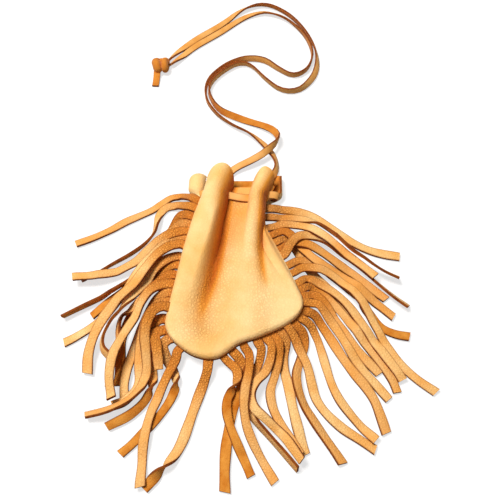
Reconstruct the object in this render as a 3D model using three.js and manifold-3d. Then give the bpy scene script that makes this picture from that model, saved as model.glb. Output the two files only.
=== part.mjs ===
// A fringed buckskin medicine pouch with a lace drawstring, lying on its back with its neck drawn in.
// Millimetres, +Z up, +Y towards the mouth. The origin is on the table under the middle of the pouch.
import * as THREE from "three";
import { mergeVertices } from "three/addons/utils/BufferGeometryUtils.js";
import Module from "manifold-3d";

const wasm = await Module();
wasm.setup();

// Leather and lace
const PANEL_THICK = 1.2;
const LEATHER_ROUGHNESS = 0.72;
const FRINGE_THICK = 1.6;
const STRAND_WIDTH = 5.6;
const LACE_WIDTH = 5;
const LACE_THICK = 1.5;
const LACE_EDGE_EASE = 0.3;
const THREAD_DIAMETER = 0.6;
// The sewing's place across the turned-in edge, and the bare ends of the strip and the sewing
const THREAD_PLACE = 0.7;
const BAND_END_SHARE = 0.004;
const THREAD_END_SHARE = 0.01;
// Gap between pieces that touch
const CLEARANCE = 0.3;
// Seam: the edges are turned in, with the fringe strip between them
const FOLD_RADIUS = 1.2;
const SEAM_ALLOWANCE = 4;
const RIM_RADIUS = 2.4;
const RIM_RADIUS_NECK = 4;
const FOLD_RADIUS_NECK = 2.5;
// Filled body: flat, with a tight round rise from the seam
const CROWN_HEIGHT = 5;
const SWELL_RUN = 7;
// Drawn neck: a main fold at the left, a side fold at the right and a hollow between them
const MAIN_RIDGE_HEIGHT = 20;
const SIDE_RIDGE_HEIGHT = 16.5;
const VALLEY_HEIGHT = 7;
const NECK_EDGE_HEIGHT = 8.8;
const RIDGE_OVERHANG = 0.36;
// The outer half of the side fold hangs further over its crease, between these heights y
const SIDE_OVERHANG = 0.6;
const SIDE_OVERHANG_FROM = 0.3;
const SIDE_OVERHANG_Y = [18, 46];
// Below the lace the leather goes slack: a low main crease, a climb to the side fold and a plump flank
const SLACK_Y = [38, 54];
const CREASE_HEIGHT = 5;
const CREASE_DROP = 0.4;
const CREASE_OVER_SEAM = 1.4;
const VALLEY_CLIMB = 6.5;
const FLANK_PLUMP = 3.5;
// Where the gathers start and where they are fully drawn, at the left and the right of the panel
const GATHER_START_Y = [-28, -8];
const GATHER_FULL_Y = [35, 40];
const GATHER_BLEND = [0.35, 0.65];
// The crease right of the side fold, and the groove below the main crease: plan x, depth and width by y
const SIDE_CREASE_X = [
  [-10, 19], [-3, 18.2], [5, 16.8], [18, 15.4], [30, 15.9], [40, 16.8], [48, 17.3], [57, 17.8], [74, 24.2],
];
const SIDE_CREASE_DEPTH = [[-10, 0], [-3, 1], [5, 2], [18, 2], [26, 0]];
const SIDE_CREASE_WIDTH = 2.6;
const GROOVE_X = [[-40, -19], [-28, -18.2], [-16, -16.4], [-2, -13], [12, -10.2], [26, -7.8], [40, -6]];
const GROOVE_DEPTH = [[-40, 0], [-28, 1.6], [-16, 2.6], [-2, 3], [12, 2.4], [26, 1.2], [40, 0]];
const GROOVE_WIDTH = [[-40, 12], [-28, 10], [-16, 6.5], [-2, 4.2], [12, 3.5], [26, 3]];
const LACE_Y = 60.7;
// The hollow between the ridges at the lace, and how far it leans for each millimetre above and below it
const VALLEY_LEFT_X = -5.5;
const VALLEY_RIGHT_X = 7.7;
const VALLEY_LEFT_LEAN = { above: 0.25, below: 0.115 };
const VALLEY_RIGHT_LEAN = { above: 0.27, below: 0.035 };
// Mouth
const SEAM_TOP_Y = 57;
const NECK_START_Y = 15;
const NECK_FREE_RUN = 5;
const MOUTH_Y = 77.5;
const MOUTH_DIP = 10;
const MOUTH_SIDE_DIP = 4.5;
const BACK_MOUTH_Y = 77.8;
const FRONT_MOUTH_LEFT_X = -17.8;
const FRONT_MOUTH_RIGHT_X = 24.6;
const LOBE_LEFT_X = -30.8;
const LOBE_RIGHT_X = 29.3;
const LOBE_RIM_RADIUS = 5;
const LOBE_CURL_DEG = { left: 150, right: 70 };
const LOBE_LIP = 1.2;
const LOBE_FULL_Y = SEAM_TOP_Y + 8;
const LOBE_EASE = { left: 0.4, right: 0.28 };
// The end of a lobe is rounded off over this length, by these shares of its turn-up and of its width
const LOBE_TIP_LENGTH = 4;
const LOBE_TIP_RIM = 0.45;
const LOBE_TIP_WIDTH = 0.25;

// The seam in plan, from the left end of the mouth round the bottom to the right end
const SEAM_LEFT_TOP = [-21.6, SEAM_TOP_Y];
const SEAM_RIGHT_TOP = [17.8, SEAM_TOP_Y];
const SEAM_POINTS = [
  SEAM_LEFT_TOP,
  [-25.2, 43], [-28.2, 29.5], [-30.8, 17.5], [-34.2, -1.5], [-36.4, -14], [-37.9, -25], [-38, -30.3],
  [-35.4, -36.8], [-31.4, -41.4], [-23.5, -47.2], [-18.1, -49.3], [-12.7, -50.1], [-8.1, -49.2],
  [-1.8, -44.9], [2.6, -41.4], [15.5, -36.6], [29.9, -29.4], [35.6, -24.5], [38.6, -18.5], [38.5, -13.3],
  [36.2, -6.7], [30.9, 6.6], [26.4, 17], [22.9, 25], [18.6, 35.5], [17.6, 46],
  SEAM_RIGHT_TOP,
];
// Shares of the seam's length at the middle of its two lower corners
const LEFT_CORNER_AT = 0.37;
const RIGHT_CORNER_AT = 0.69;

// Fringe strands: slot is the place along the seam, layer the order in which they lie, path their plan.
// turn is the roll in degrees that a strand takes past the share from of its length.
const SLOTS = 46;
const STRANDS = [
  { slot: 0.4, layer: 3, path: [[-29.5, 59.2], [-36, 63.8], [-42, 63.2], [-47.5, 59], [-53.5, 54],
    [-61, 49.5], [-70, 44.5], [-80, 37.5], [-90, 32], [-99, 28]] },
  { slot: 1.4, layer: 2, turn: 64, from: 0.25, path: [[-32, 52.5], [-38, 56.5], [-44, 55.8], [-48.5, 50.5],
    [-49.8, 43], [-51, 35], [-56, 27], [-63.5, 20], [-73.5, 13], [-82.5, 6.5], [-90.5, 1]] },
  { slot: 2.5, layer: 0, turn: 180, from: 0.2, path: [[-34, 45], [-38.5, 40.5], [-42.5, 32], [-48.5, 19.5],
    [-57, 6.5], [-64.5, -3.5], [-72, -10.5], [-77.5, -16], [-82.5, -21.5]] },
  { slot: 3.5, layer: 1, turn: 75, from: 0.15, path: [[-35, 38], [-40, 33], [-44, 24], [-49.5, 13.5],
    [-57, 5], [-66, -2.5], [-77, -9.7], [-88, -16], [-99, -22.5]] },
  { slot: 4.5, layer: 3, path: [[-37, 30], [-45, 24.5], [-52, 18.5], [-58, 12.5], [-65, 9], [-75, 5],
    [-85, 2.5], [-96, 2]] },
  { slot: 5.5, layer: 4, path: [[-38, 24], [-46, 18], [-53, 10.5], [-57.5, 2.5], [-62, -6], [-68, -14],
    [-75, -22], [-83, -29.5], [-90, -34.5], [-96, -38]] },
  { slot: 6.5, layer: 5, path: [[-40, 18], [-47.5, 12], [-53, 4], [-57.5, -4], [-63, -12.5], [-69, -21],
    [-74.5, -29], [-78.5, -38], [-80.3, -47], [-80, -56.5]] },
  { slot: 7.5, layer: 2, turn: 65, from: 0.45, path: [[-41, 12], [-48, 6.5], [-53, -2], [-58.5, -11],
    [-64, -21], [-70, -30], [-73, -38], [-71.5, -45], [-66.5, -50.5]] },
  { slot: 8.5, layer: 0, turn: 180, from: 0.3, path: [[-41.5, 7.5], [-48, 2.5], [-52, -5], [-57, -15],
    [-61, -25], [-63.5, -36], [-63, -47], [-62.5, -57], [-63, -63]] },
  { slot: 9.7, layer: 1, turn: 60, from: 0.35, path: [[-42, 1], [-48, -5], [-53, -13], [-59, -19.5],
    [-64.5, -23], [-65.5, -31], [-64.5, -40], [-66, -49], [-67.5, -56], [-68, -63.5]] },
  { slot: 10.8, layer: 6, path: [[-43, -5], [-49, -9.5], [-52.5, -16], [-55.5, -24], [-59, -33],
    [-62.5, -43], [-65, -53], [-65.5, -63], [-63.5, -73]] },
  { slot: 11.8, layer: 2, path: [[-44, -12], [-49, -18], [-52, -26], [-54.5, -35], [-57, -45],
    [-58.5, -55], [-59, -64], [-58, -73.5]] },
  { slot: 12.8, layer: 4, path: [[-44, -17.5], [-48, -24], [-50.5, -33], [-52.3, -43], [-52, -52],
    [-51.3, -60], [-53, -67], [-58, -72.5], [-64, -74.5]] },
  { slot: 13.7, layer: 5, turn: 40, from: 0.5, path: [[-44.5, -22.5], [-47.8, -29], [-49, -38],
    [-47.8, -48], [-47, -58], [-49.5, -66], [-55.5, -73], [-65, -77.5], [-78, -79.8]] },
  { slot: 14.7, layer: 3, turn: 150, from: 0.5, path: [[-45, -28.5], [-47, -36], [-46.5, -45],
    [-44.5, -54], [-44, -63], [-47, -71.5], [-54, -79], [-66, -85.7]] },
  { slot: 15.8, layer: 4, path: [[-43.8, -36], [-42.5, -43], [-41.3, -50], [-40.5, -56]] },
  { slot: 16.8, layer: 1, turn: 180, from: 0.3, path: [[-39.3, -42.5], [-37, -48.5], [-33, -55],
    [-31, -63], [-34.5, -72.5], [-40, -81], [-47, -89], [-52, -94.5], [-57.5, -99.5]] },
  { slot: 18.2, layer: 6, path: [[-31.7, -49], [-35, -57], [-39, -66], [-42.5, -76], [-45, -87],
    [-46, -98], [-45.7, -108], [-45.5, -116]] },
  { slot: 21.2, layer: 5, turn: 180, from: 0.66, path: [[-14.3, -56], [-17.5, -65.5], [-20.5, -75],
    [-23.5, -85], [-26.5, -94], [-30.5, -101.5], [-36, -108], [-44, -116.5]] },
  { slot: 22.7, layer: 2, turn: 180, from: 0.22, path: [[-2, -52], [1.2, -55.5], [2.3, -60.5], [0, -65.5],
    [-3, -71.5], [-3.3, -78], [-1.3, -86], [2, -94], [6, -102.5], [9.5, -110.5]] },
  { slot: 23.7, layer: 1, turn: 180, from: 0.1, path: [[2.7, -48.5], [5, -54], [5, -61], [2, -69],
    [-0.5, -77], [-2, -86], [-3.3, -96], [-3.8, -107], [-3.5, -118]] },
  { slot: 25, layer: 6, path: [[8.2, -46], [8.7, -53], [7.7, -61], [6.2, -69], [5.7, -77], [7, -85.5],
    [10.3, -94], [15.8, -104], [21.5, -113.5]] },
  { slot: 26.4, layer: 3, turn: 75, from: 0.45, path: [[15.2, -43], [14, -50], [10.5, -58], [8, -67],
    [8, -75], [12, -83], [18, -90], [25, -98], [33, -107.5]] },
  { slot: 27.3, layer: 4, turn: 35, from: 0.3, path: [[20.6, -41], [20.3, -49], [17.5, -56.5], [12.5, -63],
    [9.8, -70], [11.5, -77.5], [18.5, -84], [25.5, -90.5], [31, -98], [35, -104]] },
  { slot: 28.1, layer: 3, path: [[25, -40], [24.4, -49], [22.5, -58], [20, -66], [21, -75], [25, -84],
    [30, -92.5], [34.5, -100]] },
  { slot: 28.9, layer: 1, path: [[29, -38], [27.6, -46], [28, -55], [30, -64], [31.5, -74], [33.5, -84],
    [36, -95], [37.3, -100]] },
  { slot: 29.6, layer: 5, path: [[34, -37], [37, -45], [40.5, -54], [42.5, -63], [44.7, -71],
    [49.5, -78.5], [57, -86], [65.5, -92], [73.5, -97.5]] },
  { slot: 30.4, layer: 4, turn: -25, from: 0.12, path: [[39, -33.5], [39.5, -40], [37, -48], [34.5, -56],
    [34.3, -64], [37, -73], [42, -82], [47.5, -91], [53, -99.5], [56, -104.5]] },
  { slot: 31.2, layer: 6, path: [[43.5, -28.5], [46.8, -35.5], [49, -44], [51, -53], [53.3, -62],
    [57, -71], [62.5, -79.5], [68.5, -87], [74, -93]] },
  { slot: 32, layer: 4, path: [[46.5, -22.5], [52, -31], [56.5, -39.5], [61, -48], [66, -56],
    [71.5, -63.5], [75.5, -71], [78, -80], [80, -89]] },
  { slot: 32.7, layer: 5, path: [[47.5, -16.5], [54, -25], [60, -35], [65.5, -45], [71, -54], [77, -62],
    [83.5, -71]] },
  { slot: 33.4, layer: 3, path: [[46.5, -9.5], [53, -16], [59, -26], [65, -36], [71, -45], [76, -51.5],
    [80, -56.5]] },
  { slot: 34.2, layer: 2, path: [[44, -3.5], [51.5, -8], [58.5, -15], [65, -24], [71, -34], [77, -43.5],
    [82.5, -52], [86.5, -60], [88.5, -67]] },
  { slot: 35, layer: 4, path: [[42.5, 2], [51, -2], [59, -8], [66, -16], [72, -26], [78, -36.5],
    [83.5, -46], [88.5, -54.5], [92, -60.5]] },
  { slot: 36.3, layer: 6, path: [[40, 8.5], [50, 6.5], [59.5, 1.5], [67.5, -6], [74, -15.5], [79.5, -27],
    [85, -38.5], [91.5, -50], [100, -59.5], [109.5, -67]] },
  { slot: 37.3, layer: 1, turn: 180, from: 0.5, path: [[38, 14], [48, 12], [57, 6.5], [65, -1], [72, -10],
    [77.5, -19], [84, -28.5], [91.5, -32.7], [99.5, -34.3]] },
  { slot: 38.5, layer: 4, turn: -56, from: 0.2, path: [[33, 22.5], [37, 27], [42.5, 29], [49.5, 28.3],
    [57, 24.5], [64.5, 18.8], [72, 12.5], [79.5, 5], [87, -3], [94, -10], [101, -16]] },
  { slot: 39.4, layer: 3, path: [[33.5, 25], [40, 24.5], [47, 22], [55, 17.5], [62.5, 12.5], [70.5, 7],
    [78, 0], [84, -6], [89, -10.5]] },
  { slot: 40.4, layer: 0, path: [[30.5, 30], [36, 25.5], [40, 18], [43.5, 11], [48.5, 4], [55, -3],
    [62, -11], [68, -20], [73, -29]] },
  { slot: 41.4, layer: 2, path: [[29, 35], [35.5, 30.5], [40, 23.5], [45.5, 16], [52, 10.5], [60, 6],
    [68.5, 0], [77, -8], [85, -15.3], [92, -22]] },
  { slot: 42.5, layer: 4, path: [[29, 39.5], [38, 37], [46, 33.5], [53.5, 28.5], [61, 22.5], [68.5, 16],
    [76, 9], [83, 2]] },
  { slot: 44, layer: 5, turn: -62, from: 0.24, path: [[28, 46.5], [36, 45], [44, 42], [50.5, 38.5],
    [55.5, 33.5], [60.5, 27.5], [66, 22], [73, 16], [81, 10], [89, 5.5], [97.5, 2.5]] },
  { slot: 45.2, layer: 3, path: [[28, 53.5], [35, 53], [43, 50.5], [51, 46.5], [58.5, 41], [65.5, 34.8],
    [72.5, 29], [81, 24], [90.5, 20.8], [100.5, 18.7]] },
];

// Drawstring in the neck: in at the mouth, round the left end, across the front, round the right end and out
const NECK_LACE_ROUTE = [
  [-9.5, 75, 2.5], [-12.5, 69.4, 2.5], [-17, 65, 3.2], [-20.5, 62.6, 3.9], [-23.6, 62.1, 4.5],
  [-24.8, 62, 6.3], [-23.6, 61.8, 8.1], [-20.5, 61.5, 8.7], [-14, 61, 8.75], [-5, 59.8, 8.75],
  [1, 58.3, 8.75], [6, 57.6, 8.75], [9, 58, 8.75], [12.5, 59.7, 8.75], [17, 60.5, 8.7], [22, 60.7, 8.7],
  [25.6, 60.6, 8.1], [26.9, 60.6, 6.3], [25.6, 60.8, 4.5], [22, 61.8, 3.9], [18.6, 64.4, 3.3],
  [17.8, 69.5, 2.6], [19.5, 75, 2.5],
];
// Drawstring tails on the table, from the mouth to the end knot
const LEFT_TAIL_ROUTE = [
  [-9.2, 75.7], [-6, 82], [-0.4, 87.3], [9.6, 92.3], [18.5, 97.7], [26.1, 106], [28.3, 111.5],
  [27.4, 116.4], [23.4, 121.9], [13.9, 128], [1.2, 133.2], [-10.3, 139.1], [-15, 144.1], [-18.5, 150.6],
  [-20.6, 157.2], [-20.7, 163.9], [-18.5, 170.1], [-15.2, 175.4], [-6.8, 184], [-0.5, 188.2], [5.5, 188.7],
  [10.7, 185.4], [20.1, 172.7], [29.5, 162.5], [35.3, 159.9], [41.1, 159.9], [47.1, 162.8], [56.7, 176.6],
  [60, 192.8], [57.7, 210.7], [50.4, 229.4], [39.9, 245.4], [26.8, 256.2], [20.4, 258.2], [13.9, 257.8],
  [1.7, 251.4], [-16, 232.4], [-31, 218.9], [-43.6, 206], [-53.6, 191],
];
const RIGHT_TAIL_ROUTE = [
  [20, 76.3], [24, 80.2], [26.6, 86], [26.5, 93.1], [22.6, 103.1], [16.2, 111.6], [7.6, 119.8], [-3, 126.3],
  [-13, 135], [-17.8, 141.7], [-21.3, 148.3], [-23.1, 155.7], [-23.3, 162.8], [-21.8, 170.1],
  [-18.4, 176.6], [-8.7, 187.4], [2.9, 193.4], [9, 194.3], [15, 193.9], [21.1, 191.6], [30.3, 183.2],
  [39.1, 176.7], [43.6, 176.7], [48.2, 179.3], [52.5, 184.3], [56.5, 198.8], [53.3, 216.6], [45.7, 230.8],
  [35.4, 242.9], [23.1, 249], [16.6, 248.9], [4.2, 243.4], [-15, 224.9], [-34.5, 207.6], [-43.8, 196.7],
  [-51, 187.6],
];
// The roll of each tail in degrees at shares of its length: the lace stands on edge where it bends
const LEFT_TAIL_ROLLS = [
  [0, 0], [0.07, 10], [0.09, 45], [0.115, 90], [0.135, 145], [0.155, 178], [0.19, 165], [0.22, 130],
  [0.25, 94], [0.31, 94], [0.36, 106], [0.4, 112], [0.46, 100], [0.49, 104], [0.53, 45], [0.56, 40],
  [0.6, 72], [0.7, 76], [0.76, 63], [0.8, 48], [0.83, 12], [0.86, -12], [0.93, -15], [0.97, 10], [1, 70],
];
const RIGHT_TAIL_ROLLS = [
  [0, 0], [0.02, 50], [0.045, 60], [0.065, 8], [0.085, 8], [0.11, 45], [0.18, 65], [0.23, 84], [0.3, 92],
  [0.36, 106], [0.4, 76], [0.43, 76], [0.49, 102], [0.56, 96], [0.62, 88], [0.68, 62], [0.75, 30], [0.8, 0],
  [0.86, -15], [0.94, -15], [0.97, 5], [1, 60],
];
// End knot: turns of lace pulled tight round a core, and the cut end that sticks out of it
const KNOT_CENTRE = [-58.2, 185.2, 5];
const KNOT_CORE = [7, 5, 3.5];
const KNOT_LACE_RADIUS = 1.5;
const KNOT_SQUASH = 0.68;
const KNOT_TURNS = [
  { centre: [-3.5, -0.5, 0.1], axis: [1, 0.1, 0], radius: 5, width: 7 },
  { centre: [3.4, 0.2, 0], axis: [1, -0.3, 0], radius: 4.8, width: 6.2 },
  { centre: [0.9, 2.2, 0.4], axis: [0.25, 1, 0], radius: 3.8, width: 4.9 },
];
const KNOT_END_ROUTE = [
  [-59.8, 184.5, 5], [-60.2, 180.5, 3.8], [-60.4, 176, 2], [-60.6, 171, 1.15], [-60.8, 166.6, 1.05],
];

// Fineness of the meshes
const SKIN_COLUMNS = 22;
// Columns of the front panel at which the main fold ends and the side fold starts and ends
const MAIN_FOLD_END = 8;
const SIDE_FOLD_START = 12;
const SIDE_FOLD_END = 18;
const BACK_COLUMNS = 10;
const SEAM_ROWS = 14;
const NECK_ROWS = 6;
const ROW_CROWDING = 1.4;
const FOLD_STEPS = 3;
const CURL_STEPS = 4;
const STRAND_STEPS = 10;
const TAIL_STEPS = 64;
const NECK_LACE_STEPS = 46;
const BAND_STEPS = 40;
const KNOT_END_STEPS = 6;
const CORE_FACETS = [12, 8];
const TURN_FACETS = [8, 14];
const SEAM_LENGTH_DIVISIONS = 600;

// How limp leather lies
const TABLE_GAP = 0.3;
const LIE_SLOPE = 0.45;
const LACE_SLOPE = 0.16;
const LACE_HUMP_GAP = 0.7;
const LIE_SAMPLES = 52;
const TAIL_SAMPLES = 190;
const SHINGLE = 0.62;
const TURN_SHARE = 0.18;
const ROOT_INSIDE = 0.8;
const ROOT_OUTSIDE = 2.6;
const ROOT_DROP_START = 3;
const ROOT_DROP_LENGTH = 13;

const { clamp, degToRad, lerp, smoothstep } = THREE.MathUtils;

// A value read between the pairs of a list
function between(list, at) {
  const after = list.findIndex(([place]) => place >= at);
  if (after === 0) return list[0][1];
  if (after < 0) return list.at(-1)[1];
  const [[a, low], [b, high]] = [list[after - 1], list[after]];
  return lerp(low, high, (at - a) / (b - a));
}

// Solids

function leather(colour) {
  return new THREE.MeshStandardMaterial({ color: colour, roughness: LEATHER_ROUGHNESS, metalness: 0 });
}

function solidOf(geometry) {
  const bare = geometry.clone();
  bare.deleteAttribute("normal");
  bare.deleteAttribute("uv");
  const merged = mergeVertices(bare, 1e-4);
  const mesh = new wasm.Mesh({
    numProp: 3,
    vertProperties: new Float32Array(merged.attributes.position.array),
    triVerts: new Uint32Array(merged.index.array),
  });
  return new wasm.Manifold(mesh);
}

function geometryOf(solid) {
  const mesh = solid.getMesh();
  const geometry = new THREE.BufferGeometry();
  geometry.setAttribute("position", new THREE.BufferAttribute(mesh.vertProperties, 3));
  geometry.setIndex(new THREE.BufferAttribute(mesh.triVerts, 1));
  geometry.computeVertexNormals();
  return geometry;
}

function addPiece(group, name, solid, material) {
  const mesh = new THREE.Mesh(geometryOf(solid), material);
  mesh.name = name;
  group.add(mesh);
}

// A sheet of quads made into leather of an even thickness, half of it on each side of the sheet
function thickenSheet(points, quads, thick) {
  const normals = points.map(() => new THREE.Vector3());
  const edges = new Map();
  for (const quad of quads) {
    const [a, b, c, d] = quad.map((k) => points[k]);
    const across = new THREE.Vector3().subVectors(c, a);
    const normal = across.cross(new THREE.Vector3().subVectors(d, b));
    for (const k of quad) normals[k].add(normal);
    quad.forEach((k, n) => edges.set(k + "_" + quad[(n + 1) % 4], [k, quad[(n + 1) % 4]]));
  }
  const vertices = [];
  for (const side of [0.5, -0.5]) {
    points.forEach((p, k) => vertices.push(p.clone().addScaledVector(normals[k].normalize(), side * thick)));
  }
  const count = points.length;
  const faces = [];
  for (const [a, b, c, d] of quads) {
    faces.push(a, b, c, a, c, d);
    faces.push(count + a, count + c, count + b, count + a, count + d, count + c);
  }
  for (const [a, b] of edges.values()) {
    if (edges.has(b + "_" + a)) continue;
    faces.push(count + a, count + b, b, count + a, b, a);
  }
  const geometry = new THREE.BufferGeometry().setFromPoints(vertices);
  geometry.setIndex(faces);
  return solidOf(geometry);
}

// A curve for flat leather: its width stays level, rolled by an angle that may change along it
class FlatCurve extends THREE.CatmullRomCurve3 {
  constructor(points, rolls = [0]) {
    super(points);
    this.rolls = rolls;
  }

  rollAt(share) {
    const place = share * (this.rolls.length - 1);
    const before = Math.min(Math.floor(place), this.rolls.length - 1);
    const after = Math.min(before + 1, this.rolls.length - 1);
    return lerp(this.rolls[before], this.rolls[after], place - before);
  }

  computeFrenetFrames(segments) {
    const frames = { tangents: [], normals: [], binormals: [] };
    for (let k = 0; k <= segments; k++) {
      const tangent = this.getTangentAt(k / segments);
      const level = new THREE.Vector3(-tangent.y, tangent.x, 0).normalize();
      const normal = level.applyAxisAngle(tangent, this.rollAt(k / segments));
      frames.tangents.push(tangent);
      frames.normals.push(normal);
      frames.binormals.push(new THREE.Vector3().crossVectors(tangent, normal));
    }
    return frames;
  }
}

function rectangle(width, height) {
  const shape = new THREE.Shape();
  shape.moveTo(-width / 2, -height / 2);
  shape.lineTo(width / 2, -height / 2);
  shape.lineTo(width / 2, height / 2);
  shape.lineTo(-width / 2, height / 2);
  shape.closePath();
  return shape;
}

// A flat section with its corners eased, as worn lace has
function eased(width, height) {
  const ease = Math.min(width, height) * LACE_EDGE_EASE;
  const shape = new THREE.Shape();
  shape.moveTo(-width / 2 + ease, -height / 2);
  shape.lineTo(width / 2 - ease, -height / 2);
  shape.lineTo(width / 2, -height / 2 + ease);
  shape.lineTo(width / 2, height / 2 - ease);
  shape.lineTo(width / 2 - ease, height / 2);
  shape.lineTo(-width / 2 + ease, height / 2);
  shape.lineTo(-width / 2, height / 2 - ease);
  shape.lineTo(-width / 2, -height / 2 + ease);
  shape.closePath();
  return shape;
}

function sweep(shape, curve, steps) {
  return solidOf(new THREE.ExtrudeGeometry(shape, { extrudePath: curve, steps, bevelEnabled: false }));
}

// The seam's height and the radii of the turned edges

const seam = new THREE.CatmullRomCurve3(SEAM_POINTS.map(([x, y]) => new THREE.Vector3(x, y, 0)));
seam.arcLengthDivisions = SEAM_LENGTH_DIVISIONS;

function neckShare(y) {
  return smoothstep(y, NECK_START_Y, SEAM_TOP_Y);
}

function rimRadius(y) {
  return lerp(RIM_RADIUS, RIM_RADIUS_NECK, neckShare(y));
}

function foldRadiusBack(y) {
  return lerp(FOLD_RADIUS, FOLD_RADIUS_NECK, neckShare(y));
}

function seamHeight(y) {
  const backLip = PANEL_THICK / 2 + rimRadius(y) + foldRadiusBack(y);
  return backLip + PANEL_THICK / 2 + CLEARANCE + FRINGE_THICK / 2;
}

function frontLipHeight(y) {
  return seamHeight(y) + FRINGE_THICK / 2 + CLEARANCE + PANEL_THICK / 2;
}

function inwardAt(share) {
  const tangent = seam.getTangentAt(share);
  return new THREE.Vector3(-tangent.y, tangent.x, 0);
}

// A patch of points between four edges
function patch(left, right, bottom, top, columnShares, rowShares) {
  const last = columnShares.length - 1;
  return rowShares.map((v, j) =>
    columnShares.map((u, i) => {
      const p = new THREE.Vector3();
      p.addScaledVector(left[j], 1 - u).addScaledVector(right[j], u);
      p.addScaledVector(bottom[i], 1 - v).addScaledVector(top[i], v);
      p.addScaledVector(bottom[0], -(1 - u) * (1 - v)).addScaledVector(bottom[last], -u * (1 - v));
      p.addScaledVector(top[0], -(1 - u) * v).addScaledVector(top[last], -u * v);
      return p;
    }),
  );
}

const ROWS = SEAM_ROWS + NECK_ROWS;
const SEAM_SHARE = SEAM_ROWS / ROWS;
// Rows lie closer together near the rounded bottom
const sideShares = Array.from({ length: SEAM_ROWS + 1 }, (_, j) => (j / SEAM_ROWS) ** ROW_CROWDING);
const rowShares = Array.from({ length: ROWS + 1 }, (_, j) =>
  j <= SEAM_ROWS ? sideShares[j] * SEAM_SHARE : j / ROWS,
);

function columnShares(columns) {
  return Array.from({ length: columns + 1 }, (_, i) => (1 - Math.cos((Math.PI * i) / columns)) / 2);
}

// The two side edges and the bottom edge of a panel, with the inward direction at each point
function panelEdges(columns, leftMouth, rightMouth, mouthY, ease) {
  const edge = { left: [], right: [], bottom: [] };
  const point = (share) => ({ at: seam.getPointAt(share), inward: inwardAt(share) });
  for (let j = 0; j <= SEAM_ROWS; j++) {
    edge.left.push(point(LEFT_CORNER_AT * (1 - sideShares[j])));
    edge.right.push(point(lerp(RIGHT_CORNER_AT, 1, sideShares[j])));
  }
  for (let j = 1; j <= NECK_ROWS; j++) {
    const y = lerp(SEAM_TOP_Y, mouthY, j / NECK_ROWS);
    const leftX = lerp(SEAM_LEFT_TOP[0], leftMouth, ease(j / NECK_ROWS, "left"));
    const rightX = lerp(SEAM_RIGHT_TOP[0], rightMouth, ease(j / NECK_ROWS, "right"));
    edge.left.push({ at: new THREE.Vector3(leftX, y, 0), inward: new THREE.Vector3(1, 0, 0) });
    edge.right.push({ at: new THREE.Vector3(rightX, y, 0), inward: new THREE.Vector3(-1, 0, 0) });
  }
  columnShares(columns).forEach((u) => edge.bottom.push(point(lerp(LEFT_CORNER_AT, RIGHT_CORNER_AT, u))));
  return edge;
}

// Quads of a grid of points, and of the strips that run on from its edge
function gridSheet(rows) {
  const points = rows.flat();
  const width = rows[0].length;
  const quads = [];
  for (let j = 0; j + 1 < rows.length; j++) {
    for (let i = 0; i + 1 < width; i++) {
      const k = j * width + i;
      quads.push([k, k + 1, k + width + 1, k + width]);
    }
  }
  return { points, quads, width };
}

function addRim(sheet, rim, profile) {
  let ring = rim.map((spot) => spot.index);
  const steps = profile(rim[0]).length;
  for (let step = 0; step < steps; step++) {
    const next = rim.map((spot) => {
      const [inside, height] = profile(spot)[step];
      const p = spot.at.clone().addScaledVector(spot.inward, inside);
      sheet.points.push(p.setZ(height));
      return sheet.points.length - 1;
    });
    for (let m = 0; m + 1 < ring.length; m++) sheet.quads.push([ring[m + 1], ring[m], next[m], next[m + 1]]);
    ring = next;
  }
}

// The edge points in order round the seam, each with its index in the grid
function rimSpots(edge, width, topRow) {
  const spots = [];
  for (let j = topRow; j > 0; j--) spots.push({ ...edge.left[j], index: j * width });
  edge.bottom.forEach((spot, i) => spots.push({ ...spot, index: i }));
  for (let j = 1; j <= topRow; j++) spots.push({ ...edge.right[j], index: j * width + width - 1 });
  return spots;
}

// Front panel: flat and filled below, drawn into two round folds at the neck

function valleyLeft(y) {
  return VALLEY_LEFT_X + (y - LACE_Y) * (y > LACE_Y ? VALLEY_LEFT_LEAN.above : VALLEY_LEFT_LEAN.below);
}

function valleyRight(y) {
  return VALLEY_RIGHT_X + (y - LACE_Y) * (y > LACE_Y ? VALLEY_RIGHT_LEAN.above : VALLEY_RIGHT_LEAN.below);
}

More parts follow.
